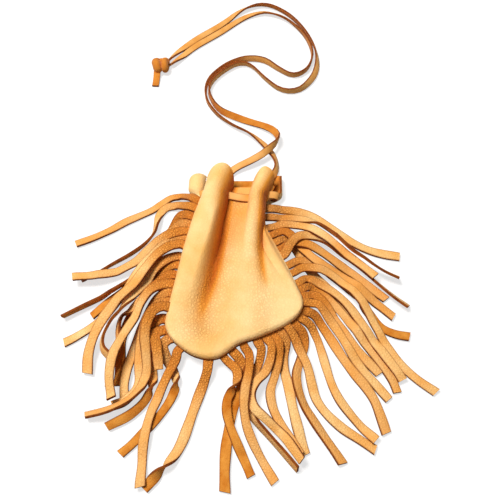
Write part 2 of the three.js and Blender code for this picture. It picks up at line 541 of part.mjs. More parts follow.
// Plan place and height of a column where the neck is fully drawn in
function gathered(column, y, leftX, rightX, edgeHeight) {
  const left = valleyLeft(y);
  const right = valleyRight(y);
  const crease = between(SIDE_CREASE_X, y);
  const free = smoothstep(y, SEAM_TOP_Y, SEAM_TOP_Y + NECK_FREE_RUN);
  const creaseHeight = edgeHeight + lerp(CREASE_OVER_SEAM, -CREASE_DROP, free);
  const slack = 1 - smoothstep(y, ...SLACK_Y);
  const valleyLow = lerp(VALLEY_HEIGHT, CREASE_HEIGHT, slack);
  const valleyTop = VALLEY_HEIGHT + VALLEY_CLIMB * slack;
  const ridge = (start, end, q, low, crest, overhang) => {
    const x = (start + end) / 2 + ((end - start) / 2) * (q + overhang * Math.sin(Math.PI * q));
    const rise = lerp((1 + Math.cos(Math.PI * q)) / 2, Math.cos((Math.PI * q) / 2), slack);
    return { x, z: lerp(low, crest, rise), rise };
  };
  if (column <= MAIN_FOLD_END) {
    const q = (2 * column) / MAIN_FOLD_END - 1;
    const low = lerp(edgeHeight, valleyLow, (q + 1) / 2);
    return ridge(leftX, left, q, low, MAIN_RIDGE_HEIGHT, RIDGE_OVERHANG);
  }
  if (column < SIDE_FOLD_START) {
    const across = (column - MAIN_FOLD_END) / (SIDE_FOLD_START - MAIN_FOLD_END);
    return { x: lerp(left, right, across), z: lerp(valleyLow, valleyTop, across), rise: 0 };
  }
  if (column < SIDE_FOLD_END) {
    const q = (2 * (column - SIDE_FOLD_START)) / (SIDE_FOLD_END - SIDE_FOLD_START) - 1;
    const low = lerp(valleyTop, creaseHeight, (q + 1) / 2);
    const hang = smoothstep(q, 0, SIDE_OVERHANG_FROM) * smoothstep(y, ...SIDE_OVERHANG_Y);
    return ridge(right, crease, q, low, SIDE_RIDGE_HEIGHT, lerp(RIDGE_OVERHANG, SIDE_OVERHANG, hang));
  }
  const across = (column - SIDE_FOLD_END) / (SKIN_COLUMNS - SIDE_FOLD_END);
  const plump = FLANK_PLUMP * slack * Math.sin(Math.PI * across);
  return { x: lerp(crease, rightX, across), z: lerp(creaseHeight, edgeHeight, across) + plump, rise: 0 };
}

// A quarter-round rise from the seam to the flat of the panel
function rounded(share) {
  return Math.sqrt(1 - (1 - Math.min(1, share)) ** 2);
}

// How far the leather dips along the two creases, below where the lace draws them in
function groove({ x, y }) {
  const fromMain = (x - between(GROOVE_X, y)) / between(GROOVE_WIDTH, y);
  const fromSide = (x - between(SIDE_CREASE_X, y)) / SIDE_CREASE_WIDTH;
  const main = between(GROOVE_DEPTH, y) * Math.exp(-(fromMain ** 2));
  return main + between(SIDE_CREASE_DEPTH, y) * Math.exp(-(fromSide ** 2));
}

function frontEdgeHeight(y) {
  const sewn = frontLipHeight(Math.min(y, SEAM_TOP_Y)) + FOLD_RADIUS;
  return lerp(sewn, NECK_EDGE_HEIGHT, smoothstep(y, SEAM_TOP_Y, SEAM_TOP_Y + NECK_FREE_RUN));
}

function frontSheet() {
  const straight = (t) => t;
  const edgeMouthY = MOUTH_Y - MOUTH_SIDE_DIP;
  const edge = panelEdges(SKIN_COLUMNS, FRONT_MOUTH_LEFT_X, FRONT_MOUTH_RIGHT_X, edgeMouthY, straight);
  const shares = columnShares(SKIN_COLUMNS);
  const top = shares.map((u, i) => {
    const { rise } = gathered(i, MOUTH_Y, FRONT_MOUTH_LEFT_X, FRONT_MOUTH_RIGHT_X, NECK_EDGE_HEIGHT);
    const y = i === 0 || i === SKIN_COLUMNS ? edgeMouthY : MOUTH_Y - MOUTH_DIP * (1 - rise);
    return new THREE.Vector3(lerp(FRONT_MOUTH_LEFT_X, FRONT_MOUTH_RIGHT_X, u), y, 0);
  });
  const places = (list) => list.map((spot) => spot.at);
  const rows = patch(places(edge.left), places(edge.right), places(edge.bottom), top, shares, rowShares);
  const sideLength = seam.getLength() * LEFT_CORNER_AT;
  rows.forEach((row, j) =>
    row.forEach((p, i) => {
      const leftX = edge.left[j].at.x;
      const rightX = edge.right[j].at.x;
      const fromSide = Math.min(shares[i], 1 - shares[i]) * (rightX - leftX);
      const fromBottom = (rowShares[j] / SEAM_SHARE) * sideLength;
      const swell = rounded(fromSide / SWELL_RUN) * rounded(fromBottom / SWELL_RUN);
      const edgeHeight = frontEdgeHeight(p.y);
      const side = smoothstep(i / SKIN_COLUMNS, ...GATHER_BLEND);
      const drawn = smoothstep(p.y, lerp(...GATHER_START_Y, side), lerp(...GATHER_FULL_Y, side));
      const neck = gathered(i, p.y, leftX, rightX, edgeHeight);
      p.z = lerp(edgeHeight + CROWN_HEIGHT * swell, neck.z, i % SKIN_COLUMNS && j ? drawn : 0);
      if (j) p.x = lerp(p.x, neck.x, drawn);
      p.z -= groove(p) * Math.min(1, 2 * swell);
    }),
  );
  const sheet = gridSheet(rows);
  const rim = rimSpots(edge, sheet.width, SEAM_ROWS);
  addRim(sheet, rim, (spot) => {
    const lip = frontLipHeight(spot.at.y);
    const fold = Array.from({ length: FOLD_STEPS }, (_, k) => {
      const angle = (Math.PI / 2) * ((k + 1) / FOLD_STEPS);
      return [FOLD_RADIUS * (1 - Math.cos(angle)), lip + FOLD_RADIUS * (1 - Math.sin(angle))];
    });
    return [...fold, [FOLD_RADIUS + SEAM_ALLOWANCE / 2, lip], [FOLD_RADIUS + SEAM_ALLOWANCE, lip]];
  });
  return sheet;
}

// Back panel: flat on the table, turned up round the seam and curled into a lobe at each end of the mouth

function lobeShare(y) {
  return smoothstep(y, SEAM_TOP_Y, LOBE_FULL_Y);
}

// How far the end of a lobe is rounded off
function lobeTip(y) {
  const t = clamp((y - BACK_MOUTH_Y) / LOBE_TIP_LENGTH + 1, 0, 1);
  return 1 - Math.sqrt(1 - t ** 2);
}

function lobeEase(t, side) {
  return smoothstep(t, 0, LOBE_EASE[side]) - LOBE_TIP_WIDTH * lobeTip(lerp(SEAM_TOP_Y, BACK_MOUTH_Y, t));
}

function backSheet() {
  const edge = panelEdges(BACK_COLUMNS, LOBE_LEFT_X, LOBE_RIGHT_X, BACK_MOUTH_Y, lobeEase);
  const rimAt = (y) => lerp(rimRadius(y), LOBE_RIM_RADIUS, lobeShare(y)) * (1 - LOBE_TIP_RIM * lobeTip(y));
  const shares = columnShares(BACK_COLUMNS);
  const place = (spot) => spot.at.clone().addScaledVector(spot.inward, rimAt(spot.at.y));
  const places = (list) => list.map(place);
  const left = places(edge.left);
  const right = places(edge.right);
  const top = shares.map((u) => new THREE.Vector3().lerpVectors(left[ROWS], right[ROWS], u));
  const rows = patch(left, right, places(edge.bottom), top, shares, rowShares);
  rows.flat().forEach((p) => p.setZ(PANEL_THICK / 2));
  const sheet = gridSheet(rows);
  const freeLength = MOUTH_Y - MOUTH_SIDE_DIP - SEAM_TOP_Y;
  const frontX = (y, mouthX, seamX) => lerp(seamX, mouthX, (y - SEAM_TOP_Y) / freeLength);
  addRim(sheet, rimSpots(edge, sheet.width, ROWS), (spot) => {
    const { x, y } = spot.at;
    const share = lobeShare(y);
    const rim = rimAt(y);
    const front = x < 0
      ? frontX(y, FRONT_MOUTH_LEFT_X, SEAM_LEFT_TOP[0])
      : frontX(y, FRONT_MOUTH_RIGHT_X, SEAM_RIGHT_TOP[0]);
    const curl = degToRad(lerp(90, x < 0 ? LOBE_CURL_DEG.left : LOBE_CURL_DEG.right, share));
    const lip = lerp(SEAM_ALLOWANCE, LOBE_LIP, share);
    const room = Math.abs(x - front) - PANEL_THICK - 2 * CLEARANCE - lip * Math.sin(curl);
    const fold = lerp(foldRadiusBack(y), Math.max(room, FOLD_RADIUS) / (1 - Math.cos(curl)), share);
    const profile = [];
    for (let k = 1; k <= FOLD_STEPS; k++) {
      const angle = (Math.PI / 2) * (k / FOLD_STEPS);
      profile.push([rim * (1 - Math.sin(angle)), PANEL_THICK / 2 + rim * (1 - Math.cos(angle))]);
    }
    for (let k = 1; k <= CURL_STEPS; k++) {
      const angle = curl * (k / CURL_STEPS);
      profile.push([fold * (1 - Math.cos(angle)), PANEL_THICK / 2 + rim + fold * Math.sin(angle)]);
    }
    const [inside, height] = profile.at(-1);
    profile.push([inside + lip * Math.sin(curl), height + lip * Math.cos(curl)]);
    return profile;
  });
  return sheet;
}

// Limp leather laid down in order: each length lies on the table or on what was laid before it

function lieDown(plan, halfWidths, halfHeights, laid, start) {
  const step = plan[0].distanceTo(plan[1]);
  const need = plan.map((p, k) => {
    let height = halfHeights[k] + start.floor(p);
    for (const other of laid) {
      const reach = start.reach * (halfWidths[k] + other.halfWidth);
      if (Math.hypot(p.x - other.x, p.y - other.y) < reach) {
        height = Math.max(height, other.z + other.halfHeight + halfHeights[k] + start.gap);
      }
    }
    return height;
  });
  const heights = need.map((_, k) => {
    let height = start.height(k * step);
    need.forEach((low, m) => {
      height = Math.max(height, low - start.slope * step * Math.abs(k - m));
    });
    return height;
  });
  const smooth = heights.map((height, k) => {
    const before = heights[Math.max(k - 1, 0)];
    const after = heights[Math.min(k + 1, heights.length - 1)];
    return start.held(k * step) ? height : Math.max(need[k], (before + 2 * height + after) / 4);
  });
  plan.forEach((p, k) =>
    laid.push({ x: p.x, y: p.y, z: smooth[k], halfWidth: halfWidths[k], halfHeight: halfHeights[k] }),
  );
  return smooth;
}

function layFlat(plan, rolls, width, thick, laid, start) {
  const half = (level, tall, roll) => (level * Math.abs(Math.cos(roll)) + tall * Math.abs(Math.sin(roll))) / 2;
  const halfWidths = rolls.map((roll) => half(width, thick, roll));
  const halfHeights = rolls.map((roll) => half(thick, width, roll));
  const heights = lieDown(plan, halfWidths, halfHeights, laid, start);
  return new FlatCurve(plan.map((p, k) => new THREE.Vector3(p.x, p.y, heights[k])), rolls);
}

// Fringe: one strip in the seam, cut into strands

function strandCurve(strand, laid) {
  const share = strand.slot / SLOTS;
  const root = seam.getPointAt(share);
  const inward = inwardAt(share);
  const rootHeight = seamHeight(root.y);
  const points = [
    root.clone().addScaledVector(inward, ROOT_INSIDE),
    root.clone().addScaledVector(inward, -ROOT_OUTSIDE),
    ...strand.path.map(([x, y]) => new THREE.Vector3(x, y, 0)),
  ];
  const plan = new THREE.CatmullRomCurve3(points).getSpacedPoints(LIE_SAMPLES);
  const turn = degToRad(strand.turn ?? 0);
  const from = strand.from ?? 0;
  const rolls = plan.map((_, k) => turn * smoothstep(k / LIE_SAMPLES, from, from + TURN_SHARE));
  const drop = ROOT_DROP_START + ROOT_DROP_LENGTH;
  const start = {
    floor: () => TABLE_GAP,
    height: (run) => rootHeight * (1 - smoothstep(run, ROOT_DROP_START, drop)),
    held: (run) => run < ROOT_DROP_START,
    reach: SHINGLE,
    gap: CLEARANCE,
    slope: LIE_SLOPE,
  };
  return layFlat(plan, rolls, STRAND_WIDTH, FRINGE_THICK, laid, start);
}

function fringeSolid() {
  const laid = [];
  const outer = CLEARANCE;
  const inner = FOLD_RADIUS + SEAM_ALLOWANCE;
  const bandPoints = Array.from({ length: BAND_STEPS + 1 }, (_, k) => {
    const share = lerp(BAND_END_SHARE, 1 - BAND_END_SHARE, k / BAND_STEPS);
    const p = seam.getPointAt(share);
    const height = seamHeight(p.y);
    return p.addScaledVector(inwardAt(share), (inner - outer) / 2).setZ(height);
  });
  let solid = sweep(rectangle(inner + outer, FRINGE_THICK), new FlatCurve(bandPoints), BAND_STEPS);
  const order = [...STRANDS].sort((a, b) => a.layer - b.layer);
  for (const strand of order) {
    solid = solid.add(sweep(rectangle(STRAND_WIDTH, FRINGE_THICK), strandCurve(strand, laid), STRAND_STEPS));
  }
  return solid;
}

// Seam thread: a line of sewing along the turned-in edge, inside the pouch
function threadSolid() {
  const points = Array.from({ length: BAND_STEPS + 1 }, (_, k) => {
    const share = lerp(THREAD_END_SHARE, 1 - THREAD_END_SHARE, k / BAND_STEPS);
    const p = seam.getPointAt(share);
    const height = frontLipHeight(p.y) + PANEL_THICK / 2 + CLEARANCE + THREAD_DIAMETER / 2;
    return p.addScaledVector(inwardAt(share), FOLD_RADIUS + SEAM_ALLOWANCE * THREAD_PLACE).setZ(height);
  });
  return sweep(rectangle(THREAD_DIAMETER, THREAD_DIAMETER), new FlatCurve(points), BAND_STEPS);
}

// Drawstring: one lace through the neck, its two tails and the knot that joins their ends

function neckLace(grow) {
  const curve = new THREE.CatmullRomCurve3(NECK_LACE_ROUTE.map((p) => new THREE.Vector3(...p)));
  return sweep(eased(LACE_THICK + 2 * grow, LACE_WIDTH + 2 * grow), curve, NECK_LACE_STEPS);
}

function tailSolid(route, rollList, laid) {
  const plan = new THREE.CatmullRomCurve3(route.map(([x, y]) => new THREE.Vector3(x, y, 0)));
  const points = plan.getSpacedPoints(TAIL_SAMPLES);
  const rolls = points.map((_, k) => degToRad(between(rollList, k / TAIL_SAMPLES)));
  const start = {
    floor: (p) => (p.y < BACK_MOUTH_Y + LACE_WIDTH ? PANEL_THICK + CLEARANCE : TABLE_GAP),
    height: () => 0,
    held: () => false,
    reach: 1,
    gap: LACE_HUMP_GAP,
    slope: LACE_SLOPE,
  };
  const curve = layFlat(points, rolls, LACE_WIDTH, LACE_THICK, laid, start);
  return sweep(eased(LACE_WIDTH, LACE_THICK), curve, TAIL_STEPS);
}

function knotSolid(grow) {
  const core = solidOf(new THREE.SphereGeometry(1, ...CORE_FACETS));
  let solid = core.scale(KNOT_CORE.map((half) => half + grow));
  for (const { centre, axis, radius, width } of KNOT_TURNS) {
    const thick = KNOT_LACE_RADIUS + grow;
    const ring = new THREE.TorusGeometry(radius, thick, ...TURN_FACETS);
    ring.scale(1, 1, (width / 2 + grow) / thick);
    const way = new THREE.Vector3(...axis).normalize();
    ring.applyQuaternion(new THREE.Quaternion().setFromUnitVectors(new THREE.Vector3(0, 0, 1), way));
    solid = solid.add(solidOf(ring.scale(1, 1, KNOT_SQUASH)).translate(centre));
  }
  return solid.translate(KNOT_CENTRE);
}

function endKnot() {
  const curve = new FlatCurve(KNOT_END_ROUTE.map((p) => new THREE.Vector3(...p)));
  return knotSolid(0).add(sweep(eased(LACE_WIDTH, LACE_THICK), curve, KNOT_END_STEPS));
}

// Put together

const pouch = new THREE.Group();
pouch.name = "fringed_leather_pouch";

const GRAIN = 0xedb46b;
const SUEDE = 0xd88f3a;
const slits = neckLace(CLEARANCE);
const front = frontSheet();
const back = backSheet();
const frontLeather = thickenSheet(front.points, front.quads, PANEL_THICK);
const backLeather = thickenSheet(back.points, back.quads, PANEL_THICK);
addPiece(pouch, "front_panel", frontLeather.subtract(slits), leather(GRAIN));
addPiece(pouch, "back_panel", backLeather.subtract(slits), leather(GRAIN));
addPiece(pouch, "fringe", fringeSolid(), leather(SUEDE));
addPiece(pouch, "seam_thread", threadSolid(), leather(GRAIN));
addPiece(pouch, "drawstring", neckLace(0), leather(SUEDE));

const laidLace = [];
const knotRoom = knotSolid(CLEARANCE);
const rightTail = tailSolid(RIGHT_TAIL_ROUTE, RIGHT_TAIL_ROLLS, laidLace);
const leftTail = tailSolid(LEFT_TAIL_ROUTE, LEFT_TAIL_ROLLS, laidLace);
addPiece(pouch, "drawstring_tail_right", rightTail.subtract(knotRoom), leather(SUEDE));
addPiece(pouch, "drawstring_tail_left", leftTail.subtract(knotRoom), leather(SUEDE));
addPiece(pouch, "end_knot", endKnot(), leather(SUEDE));

export default pouch;
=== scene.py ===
import math

import bmesh
import bpy
import numpy as np
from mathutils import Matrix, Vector


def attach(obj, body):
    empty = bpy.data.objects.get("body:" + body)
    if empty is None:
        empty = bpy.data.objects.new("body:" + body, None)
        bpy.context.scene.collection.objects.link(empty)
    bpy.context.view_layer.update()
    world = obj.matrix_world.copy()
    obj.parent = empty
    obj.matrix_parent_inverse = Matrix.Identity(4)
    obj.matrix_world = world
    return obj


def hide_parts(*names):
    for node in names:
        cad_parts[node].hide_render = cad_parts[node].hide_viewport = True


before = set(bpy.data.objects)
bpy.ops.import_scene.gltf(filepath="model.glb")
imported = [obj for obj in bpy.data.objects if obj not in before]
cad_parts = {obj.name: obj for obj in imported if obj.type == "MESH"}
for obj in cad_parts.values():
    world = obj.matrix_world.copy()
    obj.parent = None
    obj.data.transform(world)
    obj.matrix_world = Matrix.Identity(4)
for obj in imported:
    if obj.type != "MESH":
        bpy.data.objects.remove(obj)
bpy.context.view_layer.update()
scene = bpy.context.scene
scene.view_settings.view_transform = "Standard"

# The view: a pouch laid on a white table and seen from the foot end, looking down at about 58 degrees.
# Sizes in this file are written in millimetres, and MM turns them to metres.
MM = 0.001
VIEW_FROM = Vector((8.97, -180.4, 328.2)) * MM
VIEW_AT = Vector((8.97, 24.66, 0)) * MM

camera_data = bpy.data.cameras.new("camera")
camera_data.lens = 45
camera_data.sensor_width = 36
camera_data.clip_start = 0.01
camera = bpy.data.objects.new("camera", camera_data)
camera.location = VIEW_FROM
camera.rotation_euler = (VIEW_AT - VIEW_FROM).to_track_quat("-Z", "Y").to_euler()
scene.collection.objects.link(camera)
scene.camera = camera


# The drawstring's two tails: flat tan leather lace about 5 mm wide, cut from the same hide as the pouch.
# They come out of the mouth, cross, and wander side by side over the table to the knot that joins them.
LACE_WIDTH = 5
LACE_THICK = 1.5
LACE_EASE = 0.45
TABLE_GAP = 0.3
PANEL_THICK = 1.2
BACK_MOUTH_Y = 77.8
LEFT_TAIL_ROUTE = [
    (-9.2, 75.7), (-6, 82), (-0.4, 87.3), (9.6, 92.3), (18.5, 97.7), (26.1, 106), (28.3, 111.5),
    (27.4, 116.4), (23.4, 121.9), (13.9, 128), (1.2, 133.2), (-10.3, 139.1), (-15, 144.1), (-18.5, 150.6),
    (-20.6, 157.2), (-20.7, 163.9), (-18.5, 170.1), (-15.2, 175.4), (-6.8, 184), (-0.5, 188.2),
    (5.5, 188.7), (10.7, 185.4), (20.1, 172.7), (29.5, 162.5), (35.3, 159.9), (41.1, 159.9), (47.1, 162.8),
    (56.7, 176.6), (60, 192.8), (57.7, 210.7), (50.4, 229.4), (39.9, 245.4), (26.8, 256.2), (20.4, 258.2),
    (13.9, 257.8), (1.7, 251.4), (-16, 232.4), (-31, 218.9), (-43.6, 206), (-53.6, 191),
]
RIGHT_TAIL_ROUTE = [
    (20, 76.3), (24, 80.2), (26.6, 86), (26.5, 93.1), (22.6, 103.1), (16.2, 111.6), (7.6, 119.8),
    (-3, 126.3), (-13, 135), (-17.8, 141.7), (-21.3, 148.3), (-23.1, 155.7), (-23.3, 162.8), (-21.8, 170.1),
    (-18.4, 176.6), (-8.7, 187.4), (2.9, 193.4), (9, 194.3), (15, 193.9), (21.1, 191.6), (30.3, 183.2),
    (39.1, 176.7), (43.6, 176.7), (48.2, 179.3), (52.5, 184.3), (56.5, 198.8), (53.3, 216.6), (45.7, 230.8),
    (35.4, 242.9), (23.1, 249), (16.6, 248.9), (4.2, 243.4), (-15, 224.9), (-34.5, 207.6), (-43.8, 196.7),
    (-51, 187.6),
]
# Roll of each tail in degrees at shares of its length: the lace stands on edge where it bends
LEFT_TAIL_ROLLS = [
    (0, 0), (0.07, 10), (0.09, 45), (0.115, 90), (0.135, 145), (0.155, 178), (0.19, 165), (0.22, 130),
    (0.25, 94), (0.31, 94), (0.36, 106), (0.4, 112), (0.46, 100), (0.49, 104), (0.53, 45), (0.56, 40),
    (0.6, 72), (0.7, 76), (0.76, 63), (0.8, 48), (0.83, 12), (0.86, -12), (0.93, -15), (0.97, 10), (1, 70),
]
RIGHT_TAIL_ROLLS = [
    (0, 0), (0.02, 58), (0.042, 80), (0.066, 30), (0.085, 8), (0.11, 45), (0.18, 65), (0.23, 84), (0.3, 92),
    (0.36, 106), (0.4, 76), (0.43, 76), (0.49, 102), (0.56, 96), (0.62, 88), (0.68, 62), (0.75, 30),
    (0.8, 0), (0.86, -15), (0.94, -15), (0.97, 5), (1, 60),
]


def linear(hex_colour):
    """An sRGB hex value as linear red, green, blue and alpha."""
    parts = [int(hex_colour[k:k + 2], 16) / 255 for k in (1, 3, 5)]
    return (*[p / 12.92 if p <= 0.04045 else ((p + 0.055) / 1.055) ** 2.4 for p in parts], 1)


def add_node(material, kind, inputs=None, **settings):
    """Adds a node with its settings; an input is a value, or an output socket to link."""
    made = material.node_tree.nodes.new("ShaderNode" + kind)
    for name, value in settings.items():
        setattr(made, name, value)
    for name, value in (inputs or {}).items():
        if isinstance(value, bpy.types.NodeSocket):
            material.node_tree.links.new(value, made.inputs[name])
        else:
            made.inputs[name].default_value = value
    return made


def mix_colour(material, share, first, second):
    made = add_node(material, "Mix", {0: share, 6: first, 7: second}, data_type="RGBA")
    return made.outputs[2]


def run_along(line):
    """Length run from the start of a line to each of its points."""
    return np.concatenate([[0], np.cumsum(np.linalg.norm(np.diff(line, axis=0), axis=1))])


def headings(line):
    way = np.gradient(line, axis=0)
    return way / np.linalg.norm(way, axis=1)[:, None]


def smooth_line(points, count):
    """A smooth line through listed points, given back as evenly spaced points."""
    p = np.array(points, float)
    p = np.vstack([2 * p[0] - p[1], p, 2 * p[-1] - p[-2]])
    fine = []
    for a, b, c, d in zip(p, p[1:], p[2:], p[3:]):
        t = np.cumsum([0, *(math.sqrt(np.linalg.norm(y - x)) for x, y in ((a, b), (b, c), (c, d)))])
        s = np.linspace(t[1], t[2], 12, endpoint=False)[:, None]

        def mix(u, v, i, j):
            return (u * (t[j] - s) + v * (s - t[i])) / (t[j] - t[i])

        ab, bc, cd = mix(a, b, 0, 1), mix(b, c, 1, 2), mix(c, d, 2, 3)
        fine.append(mix(mix(ab, bc, 0, 2), mix(bc, cd, 1, 3), 1, 2))
    fine = np.vstack([*fine, p[-2]])
    run = run_along(fine)
    even = np.linspace(0, run[-1], count)
    return np.stack([np.interp(even, run, axis) for axis in fine.T], axis=1)


def smoothstep(x, low, high):
    t = np.clip((np.asarray(x, float) - low) / (high - low), 0, 1)
    return t * t * (3 - 2 * t)


def lie_down(plan, rolls, width, thick, laid, floor, lift, held, reach, gap, slope):
    """Centre line of a limp strip that lies on the table, or on what was laid before it.

    It rests with a gap on strips nearer than a share, reach, of both half widths, and climbs by slope.
    """
    half_width = (np.abs(np.cos(rolls)) * width + np.abs(np.sin(rolls)) * thick) / 2
    half_height = (np.abs(np.sin(rolls)) * width + np.abs(np.cos(rolls)) * thick) / 2
    need = half_height + floor
    for place, other_half, top in laid:
        apart = np.hypot(plan[:, None, 0] - place[None, :, 0], plan[:, None, 1] - place[None, :, 1])
        under = apart < reach * (half_width[:, None] + other_half[None, :])
        need = np.maximum(need, np.where(under, top[None, :], -np.inf).max(1) + gap + half_height)
    run = run_along(plan)
    ramp = (need[None, :] - slope * np.abs(run[:, None] - run[None, :])).max(1)
    height = np.maximum(lift, ramp)
    weights = np.array([1, 2, 3, 4, 3, 2, 1]) / 16
    soft = np.convolve(np.pad(height, 3, mode="edge"), weights, mode="valid")
    height = np.where(held, height, np.maximum(soft, need))
    laid.append((plan, half_width, height + half_height))
    return np.column_stack([plan, height])


def long_edges(strip):
    """Selects the edges that run along a strip in edit mode."""
    for edge in bmesh.from_edit_mesh(strip.data).edges:
        edge.select_set(abs(edge.verts[0].co.x - edge.verts[1].co.x) > 0.5)
    bmesh.update_edit_mesh(strip.data)


def cut_strip(name, width, thick, ease, steps):
    """A leather strip of unit length along X, grain side up, its long edges eased as a knife leaves them."""
    bpy.ops.object.select_all(action="DESELECT")
    bpy.ops.mesh.primitive_cube_add(size=1, location=(0.5, 0, 0))
    strip = bpy.context.active_object
    strip.name = name
    bpy.ops.object.transform_apply(location=True, rotation=True, scale=True)
    bpy.ops.object.mode_set(mode="EDIT")
    bpy.ops.mesh.select_all(action="SELECT")
    bpy.ops.transform.resize(value=(1, width, thick))
    long_edges(strip)
    bpy.ops.mesh.bevel(offset=ease, segments=2, affect="EDGES")
    long_edges(strip)
    bpy.ops.mesh.subdivide(number_cuts=steps - 1)
    bpy.ops.object.mode_set(mode="OBJECT")
    return strip


def bend_strip(strip, line, rolls, level=None):
    """Bends a unit strip along a line in millimetres, its width level, then rolled about the line."""
    co = np.empty(len(strip.data.vertices) * 3)
    strip.data.vertices.foreach_get("co", co)
    co = co.reshape(-1, 3)
    tangent = headings(line)
    if level is None:
        level = np.column_stack([-tangent[:, 1], tangent[:, 0], np.zeros(len(line))])
    level = level - tangent * (level * tangent).sum(1)[:, None]
    level /= np.linalg.norm(level, axis=1)[:, None]
    up = np.cross(tangent, level)
    wide = level * np.cos(rolls)[:, None] + up * np.sin(rolls)[:, None]
    tall = np.cross(tangent, wide)
    run = run_along(line)
    at = co[:, 0] * run[-1]

    def along(values):
        return np.stack([np.interp(at, run, axis) for axis in values.T], axis=1)

    over = np.clip(at - run[-1], 0, None) + np.clip(at, None, 0)
    placed = along(line) + over[:, None] * along(tangent)
    placed += co[:, 1:2] * along(wide) + co[:, 2:3] * along(tall)
    strip.data.vertices.foreach_set("co", (placed * MM).ravel())
    strip.data.update()


def mark_sides(strip, thick, *finishes):
    """Gives a flat strip the finishes of its face, back and cut edges, and a map that runs along it."""
    for finish in finishes:
        strip.data.materials.append(finish)
    along = strip.data.uv_layers.new(name="along")
    for face in strip.data.polygons:
        face.material_index = 0 if face.normal.z > 0.9 else 1 if face.normal.z < -0.9 else 2
        for k in face.loop_indices:
            place = strip.data.vertices[strip.data.loops[k].vertex_index].co
            along.data[k].uv = (place.x, place.y / thick)


CLOUD_RANGE = (0.32, 0.66)
PEBBLE_DEPTH = 0.45
PEBBLE_ROUND = 0.25
# Painted shade in the cracks between pebbles: its width and strength
CRACK_SHADE_WIDTH = 0.3
CRACK_SHADE_SHARE = 0.5
# Darkening along a strip's long edges: partly the cut's own colour, partly painted shade
EDGE_TONE_AND_SHADE_COLOUR = "#8A4208"
EDGE_TONE_AND_SHADE_WIDTH = 0.8
EDGE_TONE_AND_SHADE_SHARE = 0.8


def leather(name, low, high, cloud_mm, pore_mm, pore_depth, roughness, sheen,
            warm_tone_and_shade=None, deep_tone_and_shade=None, pebble_mm=None):
    """A matt leather: cloudy colour, fine pores and, if asked for, deeper tones that carry painted shade, and
    pebbled grain.
    """
    material = bpy.data.materials.new(name)
    material.use_nodes = True
    links = material.node_tree.links
    shader = material.node_tree.nodes["Principled BSDF"]
    place = add_node(material, "TexCoord").outputs["Object"]
    cloud = add_node(material, "TexNoise", {"Vector": place, "Scale": 1 / (cloud_mm * MM), "Detail": 4})
    ramp = add_node(material, "ValToRGB", {"Fac": cloud.outputs["Fac"]})
    for stop, position, tone in zip(ramp.color_ramp.elements, CLOUD_RANGE, (low, high)):
        stop.position = position
        stop.color = linear(tone)
    colour = ramp.outputs["Color"]
    pores = add_node(material, "TexNoise", {"Vector": place, "Scale": 1 / (pore_mm * MM), "Detail": 3})
    relief = add_node(material, "Bump",
                      {"Height": pores.outputs["Fac"], "Strength": 1, "Distance": pore_depth * MM})
    if deep_tone_and_shade:
        # Painted shade: the fold attribute darkens the colour to a warm then a deep tone in creases and
        # shaded places, and on strands also holds a random deeper tone; the grain crowds to pebbles
        fold = add_node(material, "Attribute", attribute_name="fold")
        for tone, start in ((warm_tone_and_shade, 0), (deep_tone_and_shade, 0.5)):
            share = add_node(material, "MapRange",
                             {"Value": fold.outputs["Fac"], "From Min": start, "From Max": start + 0.5})
            colour = mix_colour(material, share.outputs["Result"], colour, linear(tone))
        pebbles = add_node(material, "TexVoronoi", {"Vector": place, "Scale": 1 / (pebble_mm * MM)},
                           feature="DISTANCE_TO_EDGE")
        ridges = add_node(material, "MapRange",
                          {"Value": pebbles.outputs["Distance"], "From Max": PEBBLE_ROUND})
        crowd = add_node(material, "Attribute", attribute_name="crowded")
        # Painted shade in the cracks between pebbles, stronger where the grain is crowded
        crack_shade = add_node(material, "MapRange",
                          {"Value": pebbles.outputs["Distance"], "From Max": CRACK_SHADE_WIDTH,
                           "To Min": CRACK_SHADE_SHARE, "To Max": 0})
        crack_shade = add_node(material, "Math", {0: crack_shade.outputs["Result"], 1: crowd.outputs["Fac"]},
                          operation="MULTIPLY")
        colour = mix_colour(material, crack_shade.outputs["Value"], colour, linear(deep_tone_and_shade))
        relief = add_node(material, "Bump",
                          {"Height": ridges.outputs["Result"], "Strength": crowd.outputs["Fac"],
                           "Distance": PEBBLE_DEPTH * MM, "Normal": relief.outputs["Normal"]})
    links.new(colour, shader.inputs["Base Color"])
    links.new(relief.outputs["Normal"], shader.inputs["Normal"])
    shader.inputs["Roughness"].default_value = roughness
    shader.inputs["IOR"].default_value = 1.45
    shader.inputs["Specular IOR Level"].default_value = 0.25
    shader.inputs["Sheen Weight"].default_value = sheen
    shader.inputs["Sheen Roughness"].default_value = 0.5
    return material


def edge_tone_and_painted_shade(material, width, thick):
    """Darkens a strip's face along its two long edges: partly the cut's own darker colour, partly painted
    shade where the strip's sides meet the table and its neighbours.
    """
    shader = material.node_tree.nodes["Principled BSDF"]
    face_colour = shader.inputs["Base Color"].links[0].from_socket
    along = add_node(material, "UVMap", uv_map="along")
    across = add_node(material, "SeparateXYZ", {"Vector": along.outputs["UV"]}).outputs["Y"]
    away = add_node(material, "Math", {0: across}, operation="ABSOLUTE").outputs["Value"]
    edge_shade = add_node(material, "MapRange",
                      {"Value": away, "From Min": (width / 2 - EDGE_TONE_AND_SHADE_WIDTH) / thick,
                       "From Max": width / 2 / thick, "To Max": EDGE_TONE_AND_SHADE_SHARE})
    edge_shaded = mix_colour(material, edge_shade.outputs["Result"], face_colour, linear(EDGE_TONE_AND_SHADE_COLOUR))
    material.node_tree.links.new(edge_shaded, shader.inputs["Base Color"])


# The smooth side of drum-dyed lace: a matt tan with faint clouds and fine pores, darker along its edges,
# partly from the cut and partly as painted shade
lace_face = leather("lace_leather_face", "#E39A44", "#F0B062", 9, 0.5, 0.12, 0.6, 0.05)
